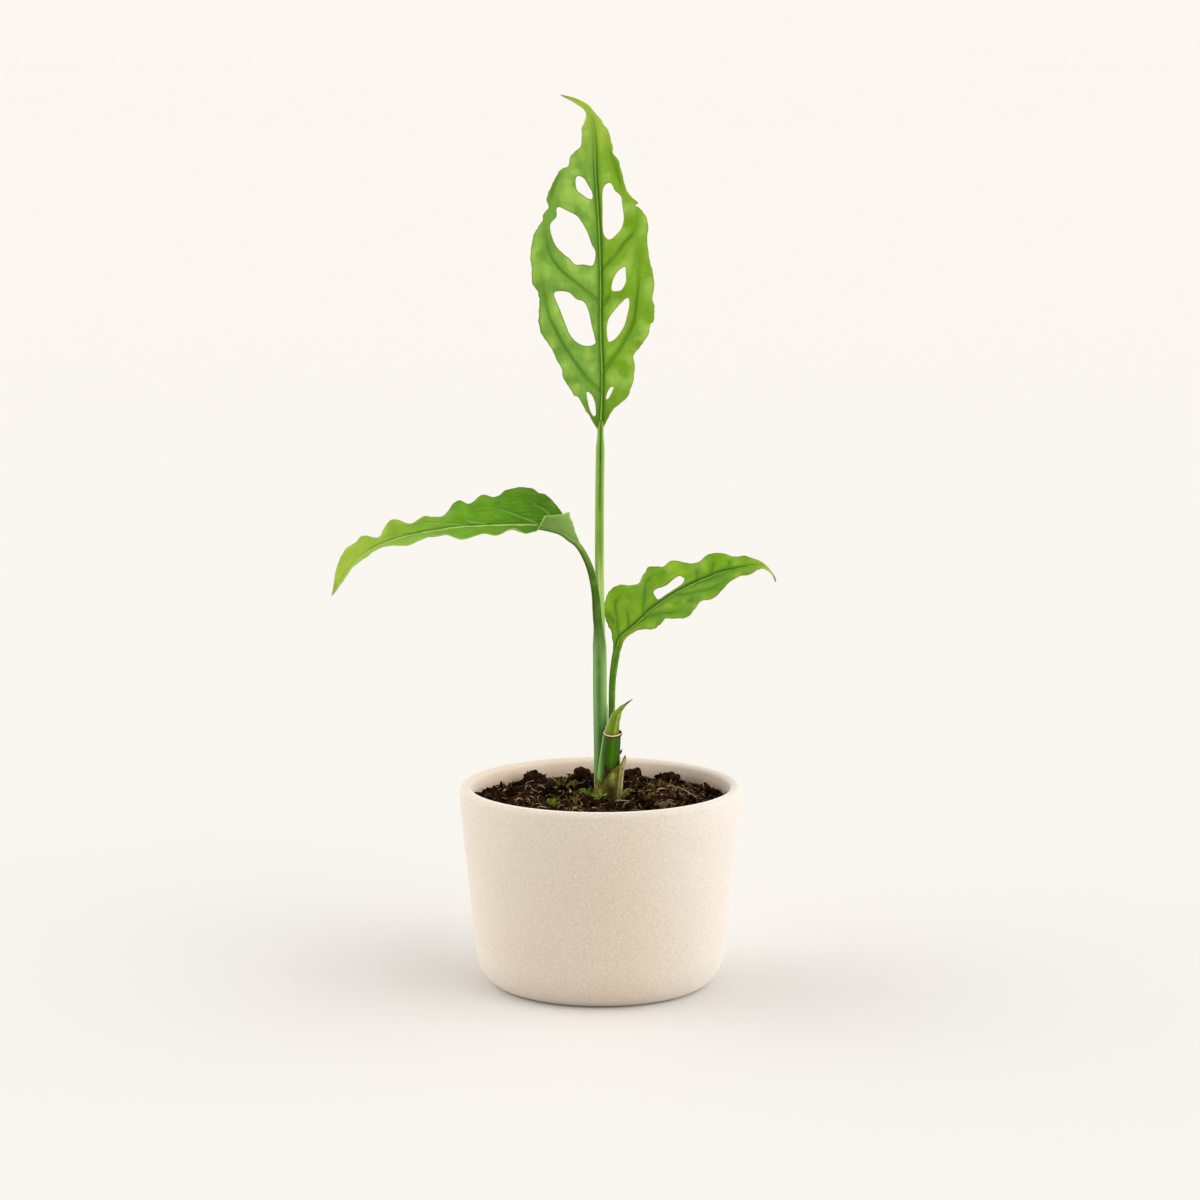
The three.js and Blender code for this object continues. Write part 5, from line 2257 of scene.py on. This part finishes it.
@dataclass
class DrySheath:
    """The papery scale round the foot of the cut stem: a curled sheet with a ragged top.

    Its turns are counted from the right, so that 270 faces the front.
    """

    middle: Table = ((56, 2.4), (64, 2.5), (75, 3.4))
    radius: Table = ((56, 4.25), (64, 4.3), (75, 4.5))
    back: float = -4.7
    thickness: float = 0.3
    bottom: float = 56.0
    from_angle: float = 165.0
    to_angle: float = 400.0
    width_per_degree: float = 0.075
    top: Table = (
        (165, 68.5),
        (200, 67.5),
        (220, 66.5),
        (238, 65.6),
        (247, 67.1),
        (259, 69),
        (280, 71.2),
        (306, 72.6),
        (320, 73.8),
        (330, 74.8),
        (338, 75.4),
        (348, 74.5),
        (360, 72.5),
        (400, 69),
    )
    olive: Colour = srgb(192, 198, 88)
    stripes: Sequence[Stripe] = (
        Stripe(205, 26, srgb(128, 92, 40), 0.8, 50, 80, 1.2),
        Stripe(252, 12, srgb(104, 98, 40), 0.5, 50, 80, 1.2),
        Stripe(303, 7, srgb(104, 62, 20), 0.85, 50, 71.5, 1.2),
        Stripe(316, 5, srgb(200, 190, 130), 0.8, 50, 80, 1.2),
        Stripe(326, 5, srgb(112, 64, 22), 0.9, 50, 71.5, 1.2),
        Stripe(341, 10, srgb(222, 214, 152), 0.9, 50, 80, 1.2),
        # These two dark stripes, low on the front, are painted shade at the sheath's foot by the
        # soil.
        Stripe(275, 34, srgb(84, 74, 26), 0.6, 50, 68, 1.2),
        Stripe(280, 28, srgb(26, 20, 5), 0.94, 50, 66, 1.2),
    )
    columns: int = 190
    rows: int = 44
    rag: float = 0.35
    crease: float = 0.24
    flare: float = 0.28
    finish: ScaleFinish = ScaleFinish()

    def body(self) -> Body:
        """Bends the sheet round the stem.

        Returns:
            A closed body that holds edge and paint.
        """
        degrees = np.linspace(self.from_angle, self.to_angle, self.columns)
        share = np.linspace(0, 1, self.rows)
        marks = np.column_stack([degrees * self.width_per_degree, 0 * degrees, 0 * degrees])
        ragged = between(self.top, degrees) + self.rag * rough(marks, 0.7, 3.0, 3)
        high = self.bottom + np.outer(ragged - self.bottom, share)
        wide = np.repeat(degrees[:, None], self.rows, 1)
        marks = np.stack([wide * 0.09, high * 0.12, 0 * high], -1).reshape(-1, 3)
        folds = rough(marks, 1.0, 6.0, 3).reshape(high.shape)
        loose = self.flare * share**3 * ramp(high, 66, 74)
        reach = between(self.radius, high) + self.crease * folds + loose
        turn = np.radians(wide)
        sides = []
        for offset in (self.thickness / 2, -self.thickness / 2):
            x = between(self.middle, high) + (reach + offset) * np.cos(turn)
            y = self.back + (reach + offset) * np.sin(turn)
            sides.append(np.stack([x, y, high], -1).reshape(-1, 3))
        ends = np.minimum(wide - self.from_angle, self.to_angle - wide) * self.width_per_degree
        edge = np.minimum(ragged[:, None] - high, ends).ravel()
        paint = striped(self.olive, self.stripes, wide.ravel(), high.ravel())
        values = {"edge": np.tile(edge, 2), "paint": np.tile(paint, (2, 1))}
        return Body(np.vstack(sides), self.faces(), values)

    def faces(self) -> list[tuple[int, ...]]:
        """Joins the points of both sides.

        Returns:
            The faces of the outer side, of the inner side and of the rim all round.
        """
        columns, rows = self.columns, self.rows
        count = columns * rows
        outer = [face[::-1] for face in grid_faces(columns, rows, False)]
        inner = [tuple(k + count for k in face[::-1]) for face in outer]
        spots = np.arange(count).reshape(columns, rows)
        loop = [*spots[0], *spots[1:, -1], *spots[-1, -2::-1], *spots[-2:0:-1, 0]]
        loop = [int(k) for k in loop]
        walls = [(a, b, b + count, a + count) for a, b in zip(loop, loop[1:] + loop[:1])]
        return outer + inner + walls

    def build(self, effects: Effects) -> None:
        """Makes the dry sheath."""
        skin = self.finish.build("dry_scale_skin", effects)
        show("dry_sheath_skin", self.body(), skin, ["dry_sheath"])


# Stage


@dataclass
class Stage:
    """The pale floor, the soft light round it and the camera."""

    shade: Colour = srgb(252, 247, 241)
    near_shade: Colour = srgb(250, 246, 240)
    near_reach: tuple[float, float] = (0.3, 3.0)
    floor_radius: float = 30000.0
    surround: float = 0.465
    side_gain: float = 3.3
    side_turn: float = 6.0
    front_dim: float = 0.3
    sun: float = 0.74
    sun_turn: float = 46.0
    sun_height: float = 35.0
    sun_softness: float = 50.0
    camera_place: tuple[float, float, float] = (-0.18, -1141.3, 305.13)
    camera_pitch: float = 9.0
    camera_lens: float = 108.99
    camera_sensor: float = 36.0
    camera_reach: float = 100.0

    def floor(self) -> None:
        """Lays the flat floor under the pot."""
        turn = turns(96)
        rim = self.floor_radius * np.stack([np.cos(turn), np.sin(turn), 0 * turn], -1)
        mesh = bpy.data.meshes.new("floor")
        mesh.from_pydata((rim * MILLIMETRE).tolist(), [], [tuple(range(len(rim)))])
        material = bpy.data.materials.new("floor_paint")
        material.use_nodes = True
        shader = material.node_tree.nodes["Principled BSDF"]
        wires = Wires(material.node_tree)
        place = wires.node("ShaderNodeTexCoord").outputs["Object"]
        away = wires.node("ShaderNodeVectorMath", {0: place}, operation="LENGTH").outputs["Value"]
        colour = wires.mix(wires.ramp(away, *self.near_reach), self.near_shade, self.shade)
        grey = (1 / self.floor_light(),) * 3 + (1.0,)
        wires.feed(shader.inputs["Base Color"], wires.mix(1.0, colour, grey, "MULTIPLY"))
        shader.inputs["Roughness"].default_value = 1.0
        shader.inputs["Specular IOR Level"].default_value = 0.0
        mesh.materials.append(material)
        placed("floor", mesh)

    def floor_light(self) -> float:
        """How much light the open floor gets, as a share of what shows its own colour."""
        sun = self.sun * math.sin(math.radians(self.sun_height)) / math.pi
        return self.surround + self.side_gain / 4 + sun

    def light(self) -> None:
        """Lights a pale surround that is brighter at the sides, and one very soft sun."""
        world = bpy.data.worlds.new("surround")
        bpy.context.scene.world = world
        world.use_nodes = True
        world.node_tree.nodes.clear()
        wires = Wires(world.node_tree)
        x, y, _ = wires.split(wires.node("ShaderNodeTexCoord").outputs["Generated"])
        level = wires.math("ADD", wires.times(y, self.front_dim), self.surround)
        turn = math.radians(self.side_turn)
        reach = wires.math("ADD", wires.times(x, math.cos(turn)), wires.times(y, -math.sin(turn)))
        level = wires.math("ADD", level, wires.times(reach, reach, self.side_gain))
        white = (1.0, 1.0, 1.0, 1.0)
        lit = wires.node("ShaderNodeBackground", {"Color": white, "Strength": level}).outputs[0]
        seen = wires.node("ShaderNodeBackground", {"Color": self.shade, "Strength": 1.0}).outputs[0]
        ray = wires.node("ShaderNodeLightPath").outputs["Is Camera Ray"]
        both = wires.node("ShaderNodeMixShader", {0: ray, 1: lit, 2: seen}).outputs[0]
        wires.node("ShaderNodeOutputWorld", {"Surface": both})
        lamp = bpy.data.lights.new("soft_sun", "SUN")
        lamp.energy = self.sun
        lamp.angle = math.radians(self.sun_softness)
        turn, high = math.radians(self.sun_turn), math.radians(self.sun_height)
        flat = math.cos(high)
        way = Vector((math.sin(turn) * flat, -math.cos(turn) * flat, math.sin(high)))
        placed("soft_sun", lamp).rotation_euler = way.to_track_quat("Z", "Y").to_euler()

    def camera(self) -> None:
        """Sets the camera at the photograph's angle."""
        data = bpy.data.cameras.new("camera")
        data.lens = self.camera_lens
        data.sensor_width = self.camera_sensor
        data.sensor_fit = "HORIZONTAL"
        data.clip_end = self.camera_reach
        camera = placed("camera", data)
        camera.location = Vector(self.camera_place) * MILLIMETRE
        camera.rotation_euler = (math.radians(90 - self.camera_pitch), 0.0, 0.0)
        bpy.context.scene.camera = camera

    def build(self) -> None:
        """Sets up the floor, the light and the camera."""
        self.floor()
        self.light()
        self.camera()
        bpy.context.scene.view_settings.view_transform = "Standard"


# The plant


UPPER_BLADE = Blade(
    name="upper",
    facing=Facing.UP,
    midrib=(
        (0, 0, 178.5), (0.5, 0.5, 195), (0, 1, 211), (0, 1.5, 227.5), (-0.5, 2, 242.5),
        (-1.5, 3.5, 258), (-2, 5, 271), (-3.5, 6.5, 278), (-8, 8, 281.5), (-13, 9, 283.5),
    ),
    plus=HalfBlade(
        bearing=((0, 103), (40, 100), (100, 98)),
        lift=(
            (0, 0), (9, 0.6), (15, -0.8), (21, 0.8), (27, -0.9), (35, 1.1), (42, -1.2), (50, 1.1),
            (58, -0.9), (65, 1.1), (72, -1.1), (78, 0.9), (84, -0.8), (90, 0.6), (97, -0.3),
            (103, 0),
        ),
        margin=(
            (0, 0.6), (2.5, 2.5), (5.5, 4.5), (8, 6.25), (10.5, 7.75), (11.5, 9.25), (14, 10.75),
            (17.5, 12.75), (19.5, 13), (22.5, 14.25), (27.5, 16.25), (30, 18.25), (34, 19.75),
            (37.5, 19.75), (41, 19.25), (44, 20), (47, 21.75), (53, 22), (57.5, 21.75),
            (61.5, 21.25), (64.5, 20), (67, 17.75), (68.5, 17.5), (71, 15.5), (74, 16),
            (76.5, 14.75), (79.5, 13.25), (82, 11), (83.5, 8.5), (85.5, 8), (87.5, 6.5),
            (89.5, 4.5), (92.5, 4), (95, 3.75), (97.5, 2.5), (100, 1.25), (102.5, 0.8), (105, 0.7),
            (108, 0.5),
        ),
    ),
    minus=HalfBlade(
        bearing=((0, 257), (40, 260), (100, 262)),
        lift=(
            (0, 0), (8, -0.5), (14, 0.8), (22, -1), (29, 1), (34, -0.8), (42, 1.2), (51, -1),
            (60, 1.1), (70, -1), (78, 0.5), (86, -0.5), (94, 0.4), (103, 0),
        ),
        margin=(
            (0.5, 0.6), (4, 2.25), (6.5, 3.5), (9, 6.25), (11.5, 8.5), (15, 9.75), (19, 10.5),
            (22.5, 10), (24, 10.25), (26.5, 13), (30, 15.25), (33.5, 15.75), (34.5, 16.75),
            (39, 17.25), (42, 16.75), (45.5, 17), (49, 16.5), (55, 15.5), (59, 15.25),
            (62.5, 15.75), (66, 15.25), (68.5, 13.5), (70, 11.75), (70.5, 12.75), (72.5, 11),
            (75.5, 9.25), (79.5, 8.5), (84, 7.5), (87, 5.5), (89, 5.5), (93.5, 4.5), (97, 2.75),
            (99.5, 1.5), (102, 1.25), (105, 1), (108.5, 0.5),
        ),
    ),
    tip=111.4,
    holes=(
        (
            (78.5, 6.5), (80, 6), (80, 4.75), (79, 3.5), (76.5, 2.25), (75, 1.5), (73, 1.5),
            (73, 2.75), (74.5, 4.75), (76, 6.25),
        ),
        (
            (77.5, -4), (77, -5), (75, -5.75), (73, -7.5), (70, -7.75), (66.5, -8), (63.5, -7.25),
            (61.5, -5.5), (60, -3.25), (61, -1.75), (63, -1.25), (66, -1.25), (69.5, -1.5),
            (74, -1.75), (76.5, -2.5),
        ),
        (
            (70.5, 13), (71, 12), (70, 10.25), (68, 7), (66, 5.5), (62.5, 3.75), (58.5, 2.5),
            (56.5, 1.5), (53.5, 1.75), (52, 2.75), (52.5, 5.5), (52.5, 8), (54.5, 9.75), (56, 11.5),
            (59, 14), (63.5, 15.5), (66, 15.25), (68, 13.25),
        ),
        (
            (43, 14.75), (44, 13.25), (43.5, 10), (41.5, 7.75), (40.5, 5.25), (37.5, 3.75), (34, 3),
            (29.5, 2), (27.5, 2), (27, 5), (28.5, 8), (31, 10), (34.5, 11.5), (39, 13.25),
        ),
        (
            (51.5, -7.75), (49.5, -8), (47, -8), (44.5, -6.75), (44, -4.75), (44.5, -3.5),
            (47.5, -4), (50, -5.5),
        ),
        (
            (42, -8.75), (40, -9.25), (36.5, -8.5), (33, -7.5), (29.5, -5.25), (28, -3),
            (28.5, -2.25), (32.5, -2), (35.5, -2.75), (38, -4.5), (40.5, -6.75),
        ),
        ((12, 5), (11.5, 3.5), (9, 2.25), (5.5, 1.75), (4.5, 2.25), (5.5, 3.25), (8, 4.25)),
        ((14, -3.75), (12.5, -3.25), (10.5, -2.25), (10, -1.4), (11.5, -1.6), (13.5, -2.5)),
    ),
    veins=(
        (
            (40, 0), (43, 3.5), (46, 7), (49.25, 11), (51.5, 13.25), (53.75, 14.75), (56.25, 16),
            (60, 16.8), (63, 17.25), (66.25, 16.8), (68.5, 15.4),
        ),
        (
            (12, 0), (14.5, 3), (17.25, 5.5), (22, 8.75), (26.75, 11.5), (32.25, 14.5),
            (35.75, 16.5), (39.5, 17.3), (43, 17.8), (49.5, 19.2), (53.5, 19.8),
        ),
        (
            (50, 0), (53.25, -3), (55.75, -5.5), (58.5, -7.6), (61, -10.25), (64.25, -12),
            (67, -12.6),
        ),
        (
            (18, 0), (19.5, -1.25), (22.5, -3.5), (27.25, -7), (33.25, -10.25), (40.25, -11.5),
            (45.25, -12), (50.75, -12.2), (55.25, -12.6), (59, -13),
        ),
        ((91, -3.9), (87.5, -4.6), (81.5, -6.8), (75.25, -8.2), (72.5, -9.6)),
        ((82, 10), (80, 12), (76.75, 13.8), (74.25, 14.6), (71.5, 14.8)),
        ((38.5, 0), (40.75, -1.75), (43.6, -3.2)),
    ),
)

LEFT_BLADE = Blade(
    name="left",
    facing=Facing.DOWN,
    rib_groove=0.12,
    keel_gap=-0.14,
    midrib=(
        (-7, -2, 142), (-9.5, -2.3, 145), (-13.5, -2.7, 147.2), (-18.5, -3, 148.3),
        (-24.5, -3.5, 148.7), (-32, -4, 148.6), (-39, -4.5, 148.5), (-46.5, -5, 148),
        (-52.5, -5, 147), (-58.5, -5.5, 146), (-64.5, -6, 144.5), (-70, -6.5, 142.5),
        (-74.5, -7, 139.8), (-78.5, -7.2, 136), (-81.5, -7.5, 131.8), (-84.5, -8, 127.5),
    ),
    plus=HalfBlade(
        bearing=((0, 45), (40, 40), (100, 40)),
        lift=(
            (0, 0), (10, 0), (13.5, 1.4), (15, 0.4), (17, 1.2), (24.5, 1.6), (28, -0.6), (32, 1),
            (36, -1.2), (39, 1), (45, -1.8), (50, 0.2), (54.5, -2), (60, 1.8), (65, -2), (69, 1.4),
            (71.5, 0.4), (75, 1.4), (84, 0.4), (87.5, 0),
        ),
        margin=(
            (0, 0.8), (3, 1.8), (6, 4.5), (9, 7.5), (11.5, 10.5), (14.5, 13), (17.5, 14.5),
            (21.5, 14.5), (26.5, 13), (31.5, 12.5), (36.5, 11), (40.5, 10.5), (45, 7.5), (49, 7),
            (53.5, 7), (58.5, 7.5), (63, 6.5), (65.5, 5.5), (69.5, 6.5), (73.5, 6.5), (77.5, 5.5),
            (81.5, 4), (85.5, 1.5),
        ),
    ),
    minus=HalfBlade(
        bearing=(
            (0, 125), (5, 108), (9.5, 104), (13, 130), (16, 190), (19.5, 196), (25, 190),
            (100, 190),
        ),
        lift=(
            (0, 0), (7.5, 1.2), (10, -1.4), (15.5, 0.3), (18.5, 0.4), (22.5, 2.2), (28.5, 0.2),
            (32.5, 1), (39.5, -0.6), (44.5, 1.7), (49.5, 1.9), (57, -0.2), (64.5, 1.4), (70.5, 0.7),
            (77.5, 0.7), (86, 0),
        ),
        margin=(
            (0, 0.8), (3.5, 1.9), (4.75, 3), (5.5, 3.7), (6.25, 4.5), (7, 5.6), (7.5, 6.9),
            (8.1, 6.4), (9.25, 5.8), (10.5, 5.65), (12, 6), (14, 6), (17.5, 7), (21.5, 8),
            (27.5, 9.5), (35.5, 10.5), (45.5, 10), (53.5, 9), (61.5, 7.5), (69.5, 5.5), (77.5, 3.5),
            (85.5, 1),
        ),
    ),
    tip=88,
    veins=(
        ((33, 0.3), (38.75, 1), (44.75, 2.75), (48.5, 3.75), (53, 4.9), (57.25, 5.2), (62, 5)),
        (
            (13, 0.3), (14.8, 0.9), (16.75, 1.75), (19, 2.75), (22, 4.25), (25.25, 6), (28, 7.25),
            (31, 7.8), (36, 8.3), (40, 8),
        ),
        ((8, 0.8), (10, 3), (12, 5.25), (14.5, 7.5), (17.5, 9.5), (20.25, 10.5), (23.75, 11)),
        ((30, 0.4), (34.75, 1.8), (37.75, 3.25), (41, 4.6)),
        ((52, 0.2), (60.5, 1.5), (65.0, 2.75), (68.5, 3.2)),
        ((20, -0.5), (26, -3.5), (33, -6.5), (40, -7.5)),
        ((33, -0.5), (40, -3.2), (48, -5.5), (55, -6)),
        ((50, -0.4), (58, -3), (66, -4)),
    ),
)

RIGHT_BLADE = Blade(
    name="right",
    facing=Facing.UP,
    midrib=(
        (5, 0.5, 107), (5.5, 0, 110), (6.5, -0.5, 112.5), (10.5, -1, 116), (13.5, -2, 119),
        (16.5, -2.5, 122), (20, -3, 124.5), (24.5, -3.5, 127.5), (29, -4, 130), (33.5, -4.5, 132),
        (38, -5, 134), (42.5, -5.5, 135), (46.5, -6.5, 136), (50.5, -7, 136.3), (53, -7.4, 135.1),
        (54.6, -7.7, 133.3), (55.4, -8, 131.2),
    ),
    plus=HalfBlade(
        bearing=((0, 80), (8, 60), (20, 48), (100, 45)),
        lift=(
            (0, 0), (5.5, -0.4), (7.5, 2), (9, 1.2), (11.5, 1.6), (16.5, 1.9), (19.5, -1.6),
            (22.5, 0.6), (25.5, 1.6), (28.5, -1), (32, 1.1), (35, -1.1), (38.5, -1.2), (43, 1),
            (46.5, 0.5), (49, -0.6), (53, 0.6), (58.5, -0.6), (63, 0),
        ),
        margin=(
            (0, 0.9), (3, 1.6), (5, 3.5), (6, 6.5), (7.5, 11), (9.5, 13.25), (13, 14.5),
            (16.5, 13.5), (19.5, 12), (22, 12.25), (25, 13), (28.5, 12), (33, 10.5), (36.5, 8.25),
            (41, 7.5), (45, 7), (48.5, 5.5), (53.5, 3.75), (57, 2.3), (59, 1.5), (60.5, 0.85),
            (62, 0.5), (63.5, 0.4), (64.6, 0.3),
        ),
    ),
    minus=HalfBlade(
        bearing=((0, 260), (8, 235), (20, 216), (100, 212)),
        lift=(
            (0, 0), (12, 1.2), (15.5, -1.1), (19, -0.5), (23, 0.8), (25.5, -0.8), (28.5, -1.5),
            (32.5, -0.4), (36.5, 0.8), (40, -0.6), (45, -0.2), (48, 0.4), (51.5, 1), (55, -0.2),
            (58, 0.4), (63, 0),
        ),
        margin=(
            (0, 0.9), (5, 1.8), (9, 2), (13.5, 3.25), (16.5, 6), (19, 7.25), (23, 8), (26.5, 9.5),
            (31, 10.75), (35.5, 9.25), (39, 9.25), (45, 7), (49, 4.75), (53.5, 4), (56.4, 2.1),
            (57.6, 2), (58.4, 1.3), (60.5, 0.7), (62, 0.45), (63.5, 0.35), (64.6, 0.3),
        ),
    ),
    tip=65,
    blister=0.85,
    holes=(
        (
            (22.5, 5), (24, 5.25), (25.5, 4.75), (27.5, 4.5), (30, 5), (32, 5), (33, 3.75),
            (33, 2.75), (31.5, 1.75), (28, 1.5), (25.5, 1.5), (23, 1.5), (22.5, 2.5),
        ),
    ),
    veins=(
        ((5.5, 0.3), (7.5, 4), (8.75, 6.75), (10, 9.25), (12, 10.75), (15.5, 11.5)),
        ((9.75, 0.4), (11.25, 3.25), (12, 5), (12, 6.75)),
        ((16.2, 0.4), (18.5, 3.5), (20, 6), (21.5, 8.75), (23.25, 9.5), (27, 10)),
        ((6.4, 4), (7.25, 6), (7.5, 8.5), (8.75, 9.25)),
        ((37, 0.4), (37.5, 3.5), (37.3, 6)),
        ((41.5, 0.4), (43, 3), (43.5, 5.5)),
        ((47.5, 0.5), (47.75, 3.25), (48.3, 4.2)),
        ((12, -0.3), (17, -1.4), (21, -4), (24.5, -6), (28.25, -6.9), (31.6, -7.6)),
        ((28, -0.4), (31, -2.4), (34, -3.8), (39, -5), (42.75, -5.25), (46.25, -4.75), (48.5, -4)),
        ((33, -0.3), (37.75, -0.9), (42.5, -1.6), (46.5, -1.9), (48.75, -1.6)),
        ((32, -6.1), (32.8, -5.9), (33.7, -6.0)),
        ((32.4, -6.3), (33, -6.4), (33.5, -6.3)),
    ),
)

UPPER_STALK = Stalk(
    path=(
        (0.3, 0.3, 52.3), (0.2, 0.3, 80), (0, 0.3, 105), (-0.3, 0.2, 130), (-0.3, 0.1, 155),
        (0, 0, 178.2),
    ),
    radius=((0, 1.7), (0.45, 1.6), (0.6, 1.45), (0.95, 1.42), (1, 1)),
    skin=srgb(132, 166, 62),
    # Dark stripes at turns -86 and 90: painted shade on the edges; pale one at 70: painted
    # highlight.
    stripes=(
        Stripe(0, 400, srgb(134, 166, 58), 0.9, 0.64, 0.82),
        Stripe(0, 400, srgb(200, 229, 120), 1.0, -1, 0.66),
        Stripe(-86, 12, srgb(78, 120, 34), 0.85, 0.66, 2),
        Stripe(-52, 16, srgb(140, 174, 78), 0.7),
        Stripe(4, 15, srgb(34, 76, 4), 1.0, 0.8, 2),
        Stripe(6, 17, srgb(84, 122, 30), 0.6, 0.66, 0.82),
        Stripe(44, 16, srgb(122, 164, 70), 0.7),
        Stripe(70, 10, srgb(178, 206, 124), 0.85),
        Stripe(90, 8, srgb(98, 138, 54), 0.85),
        Stripe(10, 24, srgb(204, 226, 146), 0.6, 0.5, 0.63),
        Stripe(16, 16, srgb(112, 122, 44), 0.5, 0.66, 0.7),
    ),
    ridges=(Ridge(8, 11, -0.2, 0.2, 2), Ridge(40, 12, 0.07, 0.2, 2), Ridge(-28, 12, 0.07, 0.2, 2)),
)

LEFT_STALK = Stalk(
    path=(
        (0, -0.6, 52.3), (0, -0.6, 75), (-0.2, -0.6, 95), (-0.35, -0.6, 110), (-1.1, -1.9, 120),
        (-1.8, -2.8, 128), (-3.5, -2.7, 135.5), (-6.8, -2, 141.8),
    ),
    radius=((0, 2.1), (0.5, 2.25), (0.62, 2.2), (0.72, 1.45), (0.85, 1.2), (1, 1)),
    skin=srgb(66, 100, 16),
    # Lower part: dark stripes at turns -88 and 89 are painted shade on the edges, pale 70 a painted
    # highlight.
    stripes=(
        Stripe(0, 400, srgb(114, 150, 84), 1.0, -1, 0.7),
        Stripe(-88, 9, srgb(78, 116, 52), 0.8, -1, 0.7),
        Stripe(-50, 18, srgb(130, 164, 100), 0.8, -1, 0.68),
        Stripe(-6, 15, srgb(72, 118, 46), 0.95, -1, 0.62),
        Stripe(44, 16, srgb(130, 166, 88), 0.9, -1, 0.66),
        Stripe(70, 8, srgb(168, 204, 128), 0.9, 0.1, 0.68),
        Stripe(89, 6, srgb(104, 148, 66), 0.8, 0.1, 0.7),
        Stripe(0, 400, srgb(92, 140, 82), 0.45, -1, 0.34),
        # A painted shadow beside the bud.
        Stripe(52, 22, srgb(48, 92, 30), 0.7, 0.3, 0.4),
        Stripe(-88, 12, srgb(84, 120, 44), 0.8, 0.68, 0.9),
        Stripe(-48, 15, srgb(34, 66, 4), 0.9, 0.66, 0.97),
        Stripe(-8, 18, srgb(74, 106, 24), 0.8, 0.66, 2),
        Stripe(34, 16, srgb(52, 98, 10), 0.8, 0.62, 2),
        Stripe(78, 10, srgb(110, 146, 56), 0.8, 0.66, 2),
        Stripe(40, 60, srgb(128, 166, 72), 0.8, 0.95, 2),
        Stripe(-75, 20, srgb(58, 84, 18), 0.85, 0.9, 2),
    ),
    ridges=(
        Ridge(180, 48, -1.1, -1, 0.62),
        Ridge(46, 10, -0.12, -1, 0.6),
        Ridge(-48, 10, -0.1, -1, 0.6),
        Ridge(100, 26, 0.3, -1, 0.418, 0.004),
    ),
    sides=48,
)

RIGHT_STALK = Stalk(
    path=((3.3, 1.6, 52.3), (3.4, 1.5, 72), (3.6, 1.2, 90), (3.9, 0.9, 99), (4.95, 0.5, 106.7)),
    radius=((0, 1.05), (0.8, 1.05), (1, 1.2)),
    skin=srgb(78, 124, 8),
    # The dark stripes at turns -84 and 86 are painted shade along the stalk's edges.
    stripes=(
        Stripe(-84, 10, srgb(48, 70, 2), 0.9),
        Stripe(-26, 15, srgb(114, 160, 26), 0.85),
        Stripe(16, 13, srgb(62, 108, 2), 0.85),
        Stripe(52, 13, srgb(90, 140, 12), 0.8),
        Stripe(86, 10, srgb(44, 78, 2), 0.9),
    ),
    ridges=(Ridge(-20, 12, -0.1), Ridge(50, 12, -0.08)),
)


def leaves() -> list[Leaf]:
    """The plant's three leaves, each with the greens of its own age and light.

    Returns:
        The upper, the left and the right leaf.
    """
    upper = LeafFinish(
        deep=srgb(98, 149, 24),
        mid=srgb(130, 175, 42),
        light=srgb(182, 214, 98),
        plus_tint=srgb(132, 176, 86),
        minus_tint=srgb(146, 190, 31),
        tip=srgb(198, 214, 84),
        flank_shade_and_net=srgb(72, 122, 12),
        rib=srgb(170, 212, 76),
        vein=srgb(54, 104, 2),
        margin_plus=srgb(117, 135, 38),
        margin_minus=srgb(148, 166, 38),
        under=srgb(165, 197, 92),
        base_share=0.85,
        tip_from=0.7,
        shadow_minus=0.75,
        panel_share=0.7,
        end_share=0.35,
    )
    left = LeafFinish(
        deep=srgb(87, 147, 10),
        mid=srgb(110, 163, 27),
        light=srgb(128, 176, 40),
        plus_tint=srgb(102, 157, 22),
        minus_tint=srgb(122, 170, 42),
        tip=srgb(184, 205, 74),
        flank_shade_and_net=srgb(72, 127, 8),
        rib=srgb(186, 216, 118),
        vein=srgb(64, 115, 9),
        margin_plus=srgb(120, 108, 34),
        margin_minus=srgb(187, 209, 95),
        under=srgb(166, 202, 110),
        base=srgb(50, 102, 0),
        base_share=0.9,
        base_to=0.46,
        tip_from=0.35,
        vein_share=0.35,
        fibre_share=0.1,
        vein_core=0.42,
        rib_width=0.28,
        shadow_at=0.75,
        shadow_plus=0.65,
        shadow_minus=0.1,
        shade_beside_share=0.3,
        fade_from=0.62,
        rib_at=0.2,
        specular=0.1,
        end_share=0.4,
        core_soft=0.4,
    )
    right = LeafFinish(
        deep=srgb(88, 142, 4),
        mid=srgb(116, 169, 14),
        light=srgb(168, 205, 52),
        plus_tint=srgb(130, 176, 22),
        minus_tint=srgb(110, 158, 36),
        tip=srgb(206, 208, 104),
        flank_shade_and_net=srgb(71, 128, 4),
        rib=srgb(183, 213, 84),
        vein=srgb(52, 96, 4),
        margin_plus=srgb(106, 120, 16),
        margin_minus=srgb(140, 140, 42),
        under=srgb(159, 186, 74),
        tip_from=0.8,
        vein_share=0.36,
        vein_core=0.15,
        minus_share=0.6,
        shadow_plus=0.7,
        shadow_minus=0.15,
        shade_beside_share=0.6,
        base=srgb(166, 204, 56),
        base_share=0.75,
        base_to=0.36,
        end_share=0.75,
        panel_share=0.8,
        rib_width=0.14,
    )
    pale = srgb(176, 200, 112)
    return [
        Leaf(UPPER_BLADE, UPPER_STALK, upper, StalkFinish(pale, 0.2), "stalk_light"),
        Leaf(LEFT_BLADE, LEFT_STALK, left, StalkFinish(pale, 0.4, specular=0.1), "stalk_grey"),
        Leaf(RIGHT_BLADE, RIGHT_STALK, right, StalkFinish(pale, 0.1), "stalk_dark"),
    ]


def main() -> None:
    """Builds the pot, the soil, the plant and the stage."""
    logging.basicConfig(level=logging.INFO, format="%(message)s")
    effects = Effects()
    pot = Pot()
    pot.build(effects)
    Soil(pot).build(effects)
    for leaf in leaves():
        leaf.build(effects)
    Stub().build(effects)
    Bud().build(effects)
    DrySheath().build(effects)
    Stage().build()


if __name__ == "__main__":
    main()
